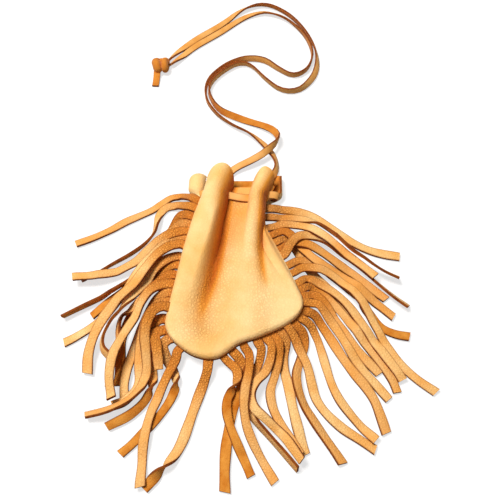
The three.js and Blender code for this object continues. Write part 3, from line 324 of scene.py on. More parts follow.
# The split side of the lace: deeper orange, drier and a little fuzzy
lace_back = leather("lace_leather_back", "#C8741E", "#DB8A30", 6, 0.35, 0.2, 0.85, 0.15)
# The raw cut of the lace: a thin dark brown line that draws every bend
lace_edge = leather("lace_leather_cut_edge", "#6E3005", "#944C10", 3, 0.3, 0.15, 0.85, 0.05)
edge_tone_and_painted_shade(lace_face, LACE_WIDTH, LACE_THICK)

lace_blank = cut_strip("lace_blank", LACE_WIDTH, LACE_THICK, LACE_EASE, 260)
mark_sides(lace_blank, LACE_THICK, lace_face, lace_back, lace_edge)
lace_blank.hide_render = True


def copy_of(blank, name):
    piece = bpy.data.objects.new(name, blank.data.copy())
    scene.collection.objects.link(piece)
    return piece


def pick(*pieces):
    """Selects pieces, with the first of them active."""
    bpy.ops.object.select_all(action="DESELECT")
    for piece in pieces:
        piece.select_set(True)
    bpy.context.view_layer.objects.active = pieces[0]


def smooth_sides(piece, degrees=40):
    pick(piece)
    bpy.ops.object.shade_smooth_by_angle(angle=math.radians(degrees))


def join_ends(piece):
    """Where a length of lace runs on into the next one, no cut end shows."""
    for face in piece.data.polygons:
        if abs(face.normal.x) > 0.9:
            face.material_index = 0


laid_lace = []


def lay_tail(name, route, rolls_at):
    """One tail of the lace, laid along its route on the table and over the tail laid before it."""
    plan = smooth_line(route, 360)
    share = np.linspace(0, 1, len(plan))
    rolls = np.radians(np.interp(share, *zip(*rolls_at)))
    rolls = np.convolve(np.pad(rolls, 8, mode="edge"), np.ones(17) / 17, mode="valid")
    floor = np.where(plan[:, 1] < BACK_MOUTH_Y + 1.5 * LACE_WIDTH, PANEL_THICK + TABLE_GAP, TABLE_GAP)
    line = lie_down(plan, rolls, LACE_WIDTH, LACE_THICK, laid_lace, floor, np.zeros(len(plan)),
                    np.zeros(len(plan), bool), reach=0.95, gap=0.15, slope=0.16)
    tail = copy_of(lace_blank, name)
    join_ends(tail)
    bend_strip(tail, line, rolls)
    smooth_sides(tail)
    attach(tail, "root")
    return tail, line


tail_right, right_line = lay_tail("lace_tail_right", RIGHT_TAIL_ROUTE, RIGHT_TAIL_ROLLS)
tail_left, left_line = lay_tail("lace_tail_left", LEFT_TAIL_ROUTE, LEFT_TAIL_ROLLS)
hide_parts("drawstring_tail_right")
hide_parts("drawstring_tail_left")


# The end knot: both tails tied together in one overhand knot of the same lace, pulled to a ball of rounded
# turns with the lace's split side outwards, and one cut lace end of about 18 mm left below it.
KNOT_CENTRE = np.array([-57.6, 184.5, 5])
KNOT_SQUASH = 0.68
# The tied lace: width and thickness, how far its edges are eased, and how far its middle bulges
KNOT_LACE = (5.4, 2.6)
KNOT_EASE = 1.2
KNOT_CROWN = 2
KNOT_WRAP_DEG = 385
KNOT_PITCH = 0.9
KNOT_TURNS = [
    # centre offset, axis of the turn, radius, width of the lace as a share of its tied width
    ((-2.7, -0.5, 0.1), (1, 0.24, 0), 5.2, 1.25),
    ((3.2, 0.1, 0), (1, 0.02, 0), 5.1, 1.1),
    ((0.9, 2.2, 0.4), (0.25, 1, 0), 3.3, 0.9),
]
KNOT_END_ROUTE = [(-59.8, 184.5, 5), (-60.2, 180.5, 3.8), (-60.4, 176, 2), (-60.6, 171, 1.15),
                  (-60.8, 166.6, 1.05)]

# In the knot the lace is pulled so tight that it bulges, so this strip has more points across its width
tied_blank = cut_strip("tied_blank", *KNOT_LACE, KNOT_EASE, 90)
shape = bmesh.new()
shape.from_mesh(tied_blank.data)
for cut in np.linspace(-0.3, 0.3, 6) * KNOT_LACE[0]:
    bmesh.ops.bisect_plane(shape, geom=shape.verts[:] + shape.edges[:] + shape.faces[:],
                           plane_co=(0, cut, 0), plane_no=(0, 1, 0))
shape.to_mesh(tied_blank.data)
shape.free()
mark_sides(tied_blank, KNOT_LACE[1], lace_face, lace_back, lace_edge)
for face in tied_blank.data.polygons:
    face.material_index = 1

knot_parts = []
for offset, axis, radius, wide in KNOT_TURNS:
    axis = Vector(axis).normalized()
    side = axis.orthogonal().normalized()
    other = axis.cross(side)
    wrap = np.radians(np.linspace(0, KNOT_WRAP_DEG, 90))
    ring = np.array([radius * (side * math.cos(a) + other * math.sin(a))
                     + axis * (a / wrap[-1] - 0.5) * KNOT_PITCH for a in wrap])
    ring[:, 2] *= KNOT_SQUASH
    band = copy_of(tied_blank, "knot_turn")
    for v in band.data.vertices:
        v.co.z -= KNOT_CROWN * (2 * v.co.y / KNOT_LACE[0]) ** 2
        v.co.y *= wide
    bend_strip(band, ring + KNOT_CENTRE + np.array(offset), np.zeros(len(ring)),
               np.tile(np.array(axis), (len(ring), 1)))
    knot_parts.append(band)
stub = copy_of(lace_blank, "knot_end")
end_line = smooth_line(KNOT_END_ROUTE, 40)
bend_strip(stub, end_line, np.full(len(end_line), math.pi))
knot_parts.append(stub)
bpy.data.objects.remove(tied_blank)
pick(*knot_parts)
bpy.ops.object.join()
end_knot = bpy.context.active_object
end_knot.name = "lace_end_knot"
smooth_sides(end_knot)
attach(end_knot, "root")
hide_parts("end_knot")


# The drawstring in the neck: the same lace, in at the mouth, round one end of the gathers, across the front
# between the two folds, round the other end and out again.
NECK_LACE_ROUTE = [
    (-9.5, 75, 2.5), (-12.5, 69.4, 2.5), (-17, 65, 3.2), (-19.5, 62.6, 3.9), (-21.9, 62.1, 4.5),
    (-22.9, 62, 6.3), (-21.9, 61.8, 8.1), (-19.5, 61.5, 8.7), (-14, 61, 8.75), (-5, 59.8, 9.3),
    (1, 58.3, 9.5), (6, 57.6, 9.3), (9, 58, 8.75), (12.5, 59.7, 8.75), (17, 60.5, 8.7), (22, 60.7, 8.7),
    (25.6, 60.6, 8.1), (26.9, 60.6, 6.3), (25.6, 60.8, 4.5), (22, 61.8, 3.9), (18.6, 64.4, 3.3),
    (17.8, 69.5, 2.6), (19.5, 75, 2.5),
]
neck_line = smooth_line(NECK_LACE_ROUTE, 260)
# The lace keeps one face outwards all round, so its width follows the line's own turning
width_way = np.empty_like(neck_line)
heading = headings(neck_line)
way = np.array([heading[0][1], -heading[0][0], 0.0])
for k, ahead in enumerate(heading):
    way = way - ahead * (way @ ahead)
    way /= np.linalg.norm(way)
    width_way[k] = way
neck_lace = copy_of(lace_blank, "neck_lace")
bpy.data.objects.remove(lace_blank)
join_ends(neck_lace)
bend_strip(neck_lace, neck_line, np.zeros(len(neck_line)), width_way)
smooth_sides(neck_lace)
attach(neck_lace, "root")
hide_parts("drawstring")


# The fringe: one strip of the same buckskin, sewn into the side and bottom seam as a welt and cut to strands.
# Each strand is smooth golden grain on one face, darker suede on the other, with raw brown cut edges.
FRINGE_THICK = 1.6
STRAND_WIDTH = 5.6
STRAND_EASE = 0.25
SEAM_TOP_Y = 57
SEAM_POINTS = [
    (-21.6, SEAM_TOP_Y), (-25.2, 43), (-28.2, 29.5), (-30.8, 17.5), (-34.2, -1.5), (-36.4, -14),
    (-37.9, -25), (-38, -30.3), (-35.4, -36.8), (-31.4, -41.4), (-23.5, -47.2), (-18.1, -49.3),
    (-12.7, -50.1), (-8.1, -49.2), (-1.8, -44.9), (2.6, -41.4), (15.5, -36.6), (29.9, -29.4), (35.6, -24.5),
    (38.6, -18.5), (38.5, -13.3), (36.2, -6.7), (30.9, 6.6), (26.4, 17), (22.9, 25), (18.6, 35.5),
    (17.6, 46), (17.8, SEAM_TOP_Y),
]
SLOTS = 46
# The strip is held in the seam from this far inside it to this far outside it
ROOT_INSIDE = 0.8
ROOT_OUTSIDE = 2.6
# Strand widths as shares of STRAND_WIDTH, at the root and along it, their waver, and the slant of a cut end
ROOT_WIDTH = 1.09
CUT_WIDTHS = (0.84, 1.02)
CUT_WAVER = 0.06
CUT_SLANT = 0.25
# Where things start or end along a strand, in millimetres from the seam
HELD_RUN = 3
DROP_RUN = (3, 19)
ARCH_RUN = 22
SWAY_RUN = (8, 25)
LEAN_IN_RUN = (3, 12)
LEAN_OUT_RUN = (30, 55)
RIPPLE_RUN = (10, 30)
ROOT_RUN = (8, 34)
ARCH_HEIGHT = 3
RIPPLE_HEIGHT = 0.7
SWAY_DEG = 9
LEAN_DEG = (-20, 12)
# A twist takes this share of a strand's length, and more when it starts late
TWIST_SHARE = 0.18
LATE_TWIST_FROM = 0.6
LATE_TWIST_SHARE = 0.34
# Depth of colour: spread between strands, painted shade added near the seam, and how far the grain crowds
STRAND_DEPTHS = (0, 0.34)
ROOT_SHADE = 0.36
STRAND_CROWDED = 0.35
ROOT_CROWDED = 0.6
# Place along the seam, layer, roll in degrees, share of the length where the roll starts, plan points
STRANDS = [
    (0.4, 3, 0, 0, [(-29.5, 59.2), (-36, 63.8), (-42, 63.2), (-47.5, 59), (-53.5, 54), (-61, 49.5),
        (-70, 44.5), (-80, 37.5), (-90, 32), (-99, 28)]),
    (1.4, 2, 64, 0.25, [(-32, 52.5), (-38, 56.5), (-44, 55.8), (-48.5, 50.5), (-49.8, 43), (-51, 35),
        (-56, 27), (-63.5, 20), (-73.5, 13), (-82.5, 6.5), (-90.5, 1)]),
    (2.5, 0, 180, 0.2, [(-34, 45), (-38.5, 40.5), (-42.5, 32), (-48.5, 19.5), (-57, 6.5), (-64.5, -3.5),
        (-72, -10.5), (-77.5, -16), (-82.5, -21.5)]),
    (3.5, 1, 75, 0.15, [(-35, 38), (-40, 33), (-44, 24), (-49.5, 13.5), (-57, 5), (-66, -2.5), (-77, -9.7),
        (-88, -16), (-99, -22.5)]),
    (4.5, 3, 0, 0, [(-37, 30), (-45, 24.5), (-52, 18.5), (-58, 12.5), (-65, 9), (-75, 5), (-85, 2.5),
        (-96, 2)]),
    (5.5, 4, 0, 0, [(-38, 24), (-46, 18), (-53, 10.5), (-57.5, 2.5), (-62, -6), (-68, -14), (-75, -22),
        (-83, -29.5), (-90, -34.5), (-96, -38)]),
    (6.5, 5, 0, 0, [(-40, 18), (-47.5, 12), (-53, 4), (-57.5, -4), (-63, -12.5), (-69, -21), (-74.5, -29),
        (-78.5, -38), (-80.3, -47), (-80, -56.5)]),
    (7.5, 2, 65, 0.45, [(-41, 12), (-48, 6.5), (-53, -2), (-58.5, -11), (-64, -21), (-70, -30), (-73, -38),
        (-71.5, -45), (-66.5, -50.5)]),
    (8.5, 0, 180, 0.3, [(-41.5, 7.5), (-48, 2.5), (-52, -5), (-57, -15), (-61, -25), (-63.5, -36),
        (-63, -47), (-62.5, -57), (-63, -63)]),
    (9.7, 1, 60, 0.35, [(-42, 1), (-48, -5), (-53, -13), (-59, -19.5), (-64.5, -23), (-65.5, -31),
        (-64.5, -40), (-66, -49), (-67.5, -56), (-68, -63.5)]),
    (10.8, 6, 0, 0, [(-43, -5), (-49, -9.5), (-52.5, -16), (-55.5, -24), (-59, -33), (-62.5, -43),
        (-65, -53), (-65.5, -63), (-63.5, -73)]),
    (11.8, 2, 0, 0, [(-44, -12), (-49, -18), (-52, -26), (-54.5, -35), (-57, -45), (-58.5, -55), (-59, -64),
        (-58, -73.5)]),
    (12.8, 4, 0, 0, [(-44, -17.5), (-48, -24), (-50.5, -33), (-52.3, -43), (-52, -52), (-51.3, -60),
        (-53, -67), (-58, -72.5), (-64, -74.5)]),
    (13.7, 5, 40, 0.5, [(-44.5, -22.5), (-47.8, -29), (-49, -38), (-47.8, -48), (-47, -58), (-49.5, -66),
        (-55.5, -73), (-65, -77.5), (-78, -79.8)]),
    (14.7, 3, 150, 0.5, [(-45, -28.5), (-47, -36), (-46.5, -45), (-44.5, -54), (-44, -63), (-47, -71.5),
        (-54, -79), (-66, -85.7)]),
    (15.8, 4, 0, 0, [(-43.8, -36), (-42.5, -43), (-41.3, -50), (-40.5, -56)]),
    (16.8, 1, 180, 0.3, [(-39.3, -42.5), (-37, -48.5), (-33, -55), (-31, -63), (-34.5, -72.5), (-40, -81),
        (-47, -89), (-52, -94.5), (-57.5, -99.5)]),
    (18.2, 6, 0, 0, [(-31.7, -49), (-35, -57), (-39, -66), (-42.5, -76), (-45, -87), (-46, -98),
        (-45.7, -108), (-45.5, -116)]),
    (21.2, 5, 180, 0.66, [(-14.3, -56), (-17.5, -65.5), (-20.5, -75), (-23.5, -85), (-26.5, -94),
        (-30.5, -101.5), (-36, -108), (-44, -116.5)]),
    (22.7, 2, 180, 0.22, [(-2, -52), (1.2, -55.5), (2.3, -60.5), (0, -65.5), (-3, -71.5), (-3.3, -78),
        (-1.3, -86), (2, -94), (6, -102.5), (9.5, -110.5)]),
    (23.7, 1, 180, 0.1, [(2.7, -48.5), (5, -54), (5, -61), (2, -69), (-0.5, -77), (-2, -86), (-3.3, -96),
        (-3.8, -107), (-3.5, -118)]),
    (25, 6, 0, 0, [(8.2, -46), (8.7, -53), (7.7, -61), (6.2, -69), (5.7, -77), (7, -85.5), (10.3, -94),
        (15.8, -104), (21.5, -113.5)]),
    (26.4, 3, 75, 0.45, [(15.2, -43), (14, -50), (10.5, -58), (8, -67), (8, -75), (12, -83), (18, -90),
        (25, -98), (33, -107.5)]),
    (27.3, 4, 35, 0.3, [(20.6, -41), (20.3, -49), (17.5, -56.5), (12.5, -63), (9.8, -70), (11.5, -77.5),
        (18.5, -84), (25.5, -90.5), (31, -98), (35, -104)]),
    (28.1, 3, 0, 0, [(25, -40), (24.4, -49), (22.5, -58), (20, -66), (21, -75), (25, -84), (30, -92.5),
        (34.5, -100)]),
    (28.9, 1, 0, 0, [(29, -38), (27.6, -46), (28, -55), (30, -64), (31.5, -74), (33.5, -84), (36, -95),
        (37.3, -100)]),
    (29.6, 5, 0, 0, [(34, -37), (37, -45), (40.5, -54), (42.5, -63), (44.7, -71), (49.5, -78.5), (57, -86),
        (65.5, -92), (73.5, -97.5)]),
    (30.4, 4, -25, 0.12, [(39, -33.5), (39.5, -40), (37, -48), (34.5, -56), (34.3, -64), (37, -73),
        (42, -82), (47.5, -91), (53, -99.5), (56, -104.5)]),
    (31.2, 6, 0, 0, [(43.5, -28.5), (46.8, -35.5), (49, -44), (51, -53), (53.3, -62), (57, -71),
        (62.5, -79.5), (68.5, -87), (74, -93)]),
    (32, 4, 0, 0, [(46.5, -22.5), (52, -31), (56.5, -39.5), (61, -48), (66, -56), (71.5, -63.5),
        (75.5, -71), (78, -80), (80, -89)]),
    (32.7, 5, 0, 0, [(47.5, -16.5), (54, -25), (60, -35), (65.5, -45), (71, -54), (77, -62), (83.5, -71)]),
    (33.4, 3, 0, 0, [(46.5, -9.5), (53, -16), (59, -26), (65, -36), (71, -45), (76, -51.5), (80, -56.5)]),
    (34.2, 2, 0, 0, [(44, -3.5), (51.5, -8), (58.5, -15), (65, -24), (71, -34), (77, -43.5), (82.5, -52),
        (86.5, -60), (88.5, -67)]),
    (35, 4, 0, 0, [(42.5, 2), (51, -2), (59, -8), (66, -16), (72, -26), (78, -36.5), (83.5, -46),
        (88.5, -54.5), (92, -60.5)]),
    (36.3, 6, 0, 0, [(40, 8.5), (50, 6.5), (59.5, 1.5), (67.5, -6), (74, -15.5), (79.5, -27), (85, -38.5),
        (91.5, -50), (100, -59.5), (109.5, -67)]),
    (37.3, 1, 180, 0.5, [(38, 14), (48, 12), (57, 6.5), (65, -1), (72, -10), (77.5, -19), (84, -28.5),
        (91.5, -32.7), (99.5, -34.3)]),
    (38.5, 4, -56, 0.2, [(33, 22.5), (37, 27), (42.5, 29), (49.5, 28.3), (57, 24.5), (64.5, 18.8),
        (72, 12.5), (79.5, 5), (87, -3), (94, -10), (101, -16)]),
    (39.4, 3, 0, 0, [(33.5, 25), (40, 24.5), (47, 22), (55, 17.5), (62.5, 12.5), (70.5, 7), (78, 0),
        (84, -6), (89, -10.5)]),
    (40.4, 0, 0, 0, [(30.5, 30), (36, 25.5), (40, 18), (43.5, 11), (48.5, 4), (55, -3), (62, -11),
        (68, -20), (73, -29)]),
    (41.4, 2, 0, 0, [(29, 35), (35.5, 30.5), (40, 23.5), (45.5, 16), (52, 10.5), (60, 6), (68.5, 0),
        (77, -8), (85, -15.3), (92, -22)]),
    (42.5, 4, 0, 0, [(29, 39.5), (38, 37), (46, 33.5), (53.5, 28.5), (61, 22.5), (68.5, 16), (76, 9),
        (83, 2)]),
    (44, 5, -62, 0.24, [(28, 46.5), (36, 45), (44, 42), (50.5, 38.5), (55.5, 33.5), (60.5, 27.5), (66, 22),
        (73, 16), (81, 10), (89, 5.5), (97.5, 2.5)]),
    (45.2, 3, 0, 0, [(28, 53.5), (35, 53), (43, 50.5), (51, 46.5), (58.5, 41), (65.5, 34.8), (72.5, 29),
        (81, 24), (90.5, 20.8), (100.5, 18.7)]),
]
CLEARANCE = 0.3
# Radii of the turned edges at the seam; a pair is for the left and the right of the neck
FOLD_RADIUS = 1.2
FOLD_RADIUS_NECK = (2.5, 1.2)
SEAM_ALLOWANCE = 4
RIM_RADIUS = 2.4
RIM_RADIUS_NECK = (4, 1.8)
NECK_START_Y = 15


def lerp(a, b, t):
    return a + (b - a) * t


def rim_radius(x, y):
    """Radius of the back's turned edge: at the neck the left side is drawn up, the right side stays low."""
    return lerp(RIM_RADIUS, RIM_RADIUS_NECK[0 if x < 0 else 1], smoothstep(y, NECK_START_Y, SEAM_TOP_Y))


def fold_radius_back(x, y):
    return lerp(FOLD_RADIUS, FOLD_RADIUS_NECK[0 if x < 0 else 1], smoothstep(y, NECK_START_Y, SEAM_TOP_Y))


def seam_height(x, y):
    """Height of the fringe strip between the two turned edges."""
    return PANEL_THICK + rim_radius(x, y) + fold_radius_back(x, y) + CLEARANCE + FRINGE_THICK / 2


seam_line = smooth_line(SEAM_POINTS, 1201)
seam_way = headings(seam_line)


def seam_at(share):
    """Plan point and inward direction at a share of the seam's length."""
    k = share * (len(seam_line) - 1)
    spots = np.arange(len(seam_line))
    point = np.array([np.interp(k, spots, seam_line[:, 0]), np.interp(k, spots, seam_line[:, 1])])
    way = np.array([np.interp(k, spots, seam_way[:, 0]), np.interp(k, spots, seam_way[:, 1])])
    return point, np.array([-way[1], way[0]]) / np.linalg.norm(way)


# The grain side of buckskin: light gold with cloudy patches, pebbled, with painted shade near the seam
grain = leather("buckskin_grain", "#FBB862", "#FFD892", 14, 0.9, 0.35, 0.62, 0.03, "#EA9638", "#B85A06", 1.4)
# The flesh side of buckskin: orange suede, seen where a strand is turned over or the mouth stands open
suede = leather("buckskin_suede", "#CA7218", "#E6983C", 6, 0.5, 0.4, 0.95, 0.06)
# The raw cut through the hide: a dark brown line round every strand and along the mouth
cut_edge = leather("buckskin_cut_edge", "#6E3005", "#944C10", 4, 0.3, 0.2, 0.9, 0.02)

# Both faces of each strand get the darker long edges: partly the cut, partly painted shade
for finish in (grain, suede):
    edge_tone_and_painted_shade(finish, STRAND_WIDTH, FRINGE_THICK)

strand_blank = cut_strip("strand_blank", STRAND_WIDTH, FRINGE_THICK, STRAND_EASE, 90)
mark_sides(strand_blank, FRINGE_THICK, grain, suede, cut_edge)
strand_blank.data.attributes.new("fold", "FLOAT", "POINT")
strand_blank.data.attributes.new("crowded", "FLOAT", "POINT")
strand_blank.hide_render = True

chance = np.random.default_rng(11)
laid_strands = []
fringe_parts = []
for slot, _, turn, turn_from, path in sorted(STRANDS, key=lambda strand: strand[1]):
    root, inward = seam_at(slot / SLOTS)
    plan = smooth_line([root + inward * ROOT_INSIDE, root - inward * ROOT_OUTSIDE, *path], 140)
    share = np.linspace(0, 1, len(plan))
    run = share * run_along(plan)[-1]
    twist_share = TWIST_SHARE if turn_from < LATE_TWIST_FROM else LATE_TWIST_SHARE
    turned = smoothstep(share, turn_from, turn_from + twist_share)
    rolls = np.radians(turn) * turned
    sway = chance.uniform(-1, 1) * np.sin(share * chance.uniform(5, 9) + chance.uniform(0, 6))
    rolls = rolls + np.radians(SWAY_DEG) * sway * smoothstep(run, *SWAY_RUN)
    # Near the seam each strand leans a little, some towards the foot of the pouch and some away from it
    lean = np.radians(chance.uniform(*LEAN_DEG)) * np.clip(inward[0] * 1.3, -1, 1)
    lean = lean * smoothstep(run, *LEAN_IN_RUN) * (1 - smoothstep(run, *LEAN_OUT_RUN))
    rolls = rolls + lean * (1 - turned * (turn != 0))
    # On the left side the strands are drawn up with the neck, and arch before they drop to the table
    drawn_up = float(smoothstep(inward[0], 0.5, 0.9))
    arch = ARCH_HEIGHT * np.sin(np.pi * np.clip(run / ARCH_RUN, 0, 1)) * drawn_up
    lift = seam_height(*root) * (1 - smoothstep(run, *DROP_RUN)) + arch
    ripple = 1 + np.sin(run / chance.uniform(7, 12) + chance.uniform(0, 6))
    lift = lift + RIPPLE_HEIGHT * ripple * smoothstep(run, *RIPPLE_RUN)
    line = lie_down(plan, rolls, STRAND_WIDTH, FRINGE_THICK, laid_strands, TABLE_GAP, lift, run < HELD_RUN,
                    reach=0.75, gap=0.1, slope=0.28)
    strand = copy_of(strand_blank, "strand")
    # Hand-cut width, and an end cut a little out of square
    slant = chance.uniform(-CUT_SLANT, CUT_SLANT)
    wide = chance.uniform(*CUT_WIDTHS)
    # Strands that were handled less keep a deeper colour, and all of them get painted shade near the seam
    depth = chance.uniform(*STRAND_DEPTHS)
    fold = strand.data.attributes["fold"].data
    crowded = strand.data.attributes["crowded"].data
    for v in strand.data.vertices:
        near_seam = 1 - float(smoothstep(v.co.x * run[-1], *ROOT_RUN))
        fold[v.index].value = min(1, depth + ROOT_SHADE * near_seam)
        crowded[v.index].value = STRAND_CROWDED + ROOT_CROWDED * near_seam
        cut = wide * (1 + CUT_WAVER * math.sin(v.co.x * 21 + slot))
        v.co.y *= lerp(cut, ROOT_WIDTH, near_seam * drawn_up)
        if v.co.x > 0.999:
            v.co.x += slant * v.co.y / run[-1]
    bend_strip(strand, line, rolls)
    fringe_parts.append(strand)

# The uncut part of the strip, which the seam holds
band = copy_of(strand_blank, "band")
bpy.data.objects.remove(strand_blank)
band_line = []
for share in np.linspace(0.004, 0.996, 400):
    point, inward = seam_at(share)
    point = point + inward * (FOLD_RADIUS + SEAM_ALLOWANCE - CLEARANCE) / 2
    band_line.append((*point, seam_height(*point)))
for v in band.data.vertices:
    v.co.y *= (FOLD_RADIUS + SEAM_ALLOWANCE + CLEARANCE) / STRAND_WIDTH
bend_strip(band, np.array(band_line), np.zeros(len(band_line)))
fringe_parts.append(band)

pick(*fringe_parts)
bpy.ops.object.join()
fringe = bpy.context.active_object
fringe.name = "fringe_strands"
smooth_sides(fringe)
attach(fringe, "root")
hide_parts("fringe")


# The front panel: one piece of soft buckskin, sewn inside out and turned, filled out below and drawn by the
# lace into two round folds at the neck. The turned edge makes a soft rounded rim over the fringe.
COLUMNS = 96
SEAM_ROWS = 84
NECK_ROWS = 24
ROWS = SEAM_ROWS + NECK_ROWS
ROW_CROWDING = 1.4
LEFT_CORNER_AT = 0.37
RIGHT_CORNER_AT = 0.69
CROWN_HEIGHT = 2.4
SWELL_RUN = 3
MAIN_RIDGE_HEIGHT = 20
SIDE_RIDGE_HEIGHT = 16.5
VALLEY_HEIGHT = 7
NECK_EDGE_HEIGHT = 8.8
RIDGE_OVERHANG = 0.36
SIDE_OVERHANG = 0.6
SIDE_OVERHANG_Y = (18, 46)
CREASE_HEIGHT = 5
FLANK_PLUMP = 3.5
LACE_Y = 60.7
MOUTH_Y = 77.5
MOUTH_DIP = 10
MOUTH_SIDE_DIP = 4.5
FRONT_MOUTH_X = (-18.6, 24.6)
SEAM_TOP_X = (-21.6, 17.8)


def front_lip_height(x, y):
    return seam_height(x, y) + FRINGE_THICK / 2 + CLEARANCE + PANEL_THICK / 2


def front_edge_height(x, y):
    sewn = front_lip_height(x, min(y, SEAM_TOP_Y)) + FOLD_RADIUS
    return lerp(sewn, NECK_EDGE_HEIGHT, smoothstep(y, SEAM_TOP_Y, SEAM_TOP_Y + 5))


def column_shares(columns):
    return (1 - np.cos(np.pi * np.arange(columns + 1) / columns)) / 2


def panel_edges(columns, mouth_x, mouth_y, ease):
    """Side and bottom edges of a panel: plan points and inward directions."""
    left, right, bottom = [], [], []
    for j in range(SEAM_ROWS + 1):
        side = (j / SEAM_ROWS) ** ROW_CROWDING
        left.append(seam_at(LEFT_CORNER_AT * (1 - side)))
        right.append(seam_at(lerp(RIGHT_CORNER_AT, 1, side)))
    for j in range(1, NECK_ROWS + 1):
        left_x, right_x = (lerp(SEAM_TOP_X[k], mouth_x[k], ease(j / NECK_ROWS, k)) for k in (0, 1))
        left_y, right_y = (lerp(SEAM_TOP_Y, mouth_y[k], j / NECK_ROWS) for k in (0, 1))
        left.append((np.array([left_x, left_y]), np.array([1.0, 0])))
        right.append((np.array([right_x, right_y]), np.array([-1.0, 0])))
    for u in column_shares(columns):
        bottom.append(seam_at(lerp(LEFT_CORNER_AT, RIGHT_CORNER_AT, u)))
    return left, right, bottom


row_shares = np.array([(j / SEAM_ROWS) ** ROW_CROWDING * SEAM_ROWS / ROWS if j <= SEAM_ROWS else j / ROWS
                       for j in range(ROWS + 1)])


def patch(left, right, bottom, top, columns):
    """Plan points spread evenly between four edges, row by row."""
    u = column_shares(columns)[None, :, None]
    v = row_shares[:, None, None]
    left, right, bottom, top = (np.array(e)[:, :2] for e in (left, right, bottom, top))
    sides = (1 - u) * left[:, None] + u * right[:, None]
    ends = (1 - v) * bottom[None] + v * top[None]
    low_corners = (1 - u) * bottom[0] + u * bottom[-1]
    high_corners = (1 - u) * top[0] + u * top[-1]
    return sides + ends - (1 - v) * low_corners - v * high_corners


# Shares of the panel's width: the main fold ends, the side fold starts and ends, and a flank lies beyond it
MAIN_FOLD_END = 8 / 22
SIDE_FOLD_START = 12 / 22
SIDE_FOLD_END = 18 / 22
# Below the lace, the leather between the folds climbs from the main crease to the side fold
VALLEY_CLIMB = 6.5
# The valley between the folds: plan x of its two sides at the lace, and their slant above and below it
VALLEY_X = (-5, 8.7)
SLANT_ABOVE = (0.36, 0.27)
SLANT_BELOW = (0.125, 0.08)
# The gathers loosen between these heights, and the panel is drawn in between these, at its left and its right
LOOSE_Y = (38, 54)
DRAWN_FROM_Y = (-28, -8)
DRAWN_TO_Y = (35, 40)
LEFT_TO_RIGHT = (0.35, 0.65)
LOOSE_OVERHANG = 0.1
# The main fold has a flat top where it is loose, and falls from this share of its half width
PLATEAU = 0.28
# The crease at the right of the side fold: plan x at heights y
CREASE_Y = (-10, -3, 5, 18, 30, 40, 48, 57, 74)
CREASE_X = (19, 18.2, 16.8, 15.4, 15.9, 16.8, 17.3, 17.8, 24.2)
# The main crease runs on down the body as a groove that widens into a shallow hollow
GROOVE_Y = (-40, -28, -16, -2, 12, 26, 40)
GROOVE_X = (-19, -18.2, -16.4, -13, -10.2, -7.8, -6)
GROOVE_DEPTH = (0, 1.6, 2.6, 3, 2.4, 1.2, 0)
GROOVE_WIDTH = (12, 10, 6.5, 4.2, 3.5, 3, 3)
# Above the groove, the main crease goes on through the neck to the mouth
NECK_CREASE_Y = (57, 74)
NECK_CREASE_X = (-4.8, 0.6)
SIDE_GROOVE_DEPTH = (0, 1, 2, 2.4, 1.6, 0, 0, 0, 0)
SIDE_GROOVE_WIDTH = 2.6
# Painted shade in each crease, at the same heights
GROOVE_SHADE = (0, 0.3, 0.65, 0.95, 1, 1, 0.95)
SIDE_SHADE = (0, 0.3, 0.55, 0.8, 0.9, 1, 1, 1, 0.6)
# Width of the painted shade to the left and right of each crease, and its strength on the valley and the
# flank, which lie in the folds' shade
MAIN_SHADE_WIDTH = (4.6, 4)
MAIN_SHADE_SHIFT = 0.6
SIDE_SHADE_WIDTH = (3, 1.8)
VALLEY_SHADE = 0.3
VALLEY_SHADE_Y = (2, 32)
FLANK_SHADE = 0.35
FLANK_SHADE_Y = (8, 32)
# How far the grain crowds into pebbles, away from the folds and beside them, and how far that reaches
PLAIN_CROWDED = 0.14
FOLD_CROWDED = 0.6
CROWDED_REACH = (11, 4)
SIDE_CROWDED_REACH = 7
# The heights where that crowding comes in, where its reach narrows, and where it ends
CROWDED_FROM_Y = (-48, -34)
CROWDED_NARROWS_Y = (-18, 12)
CROWDED_TO_Y = (57, 66)


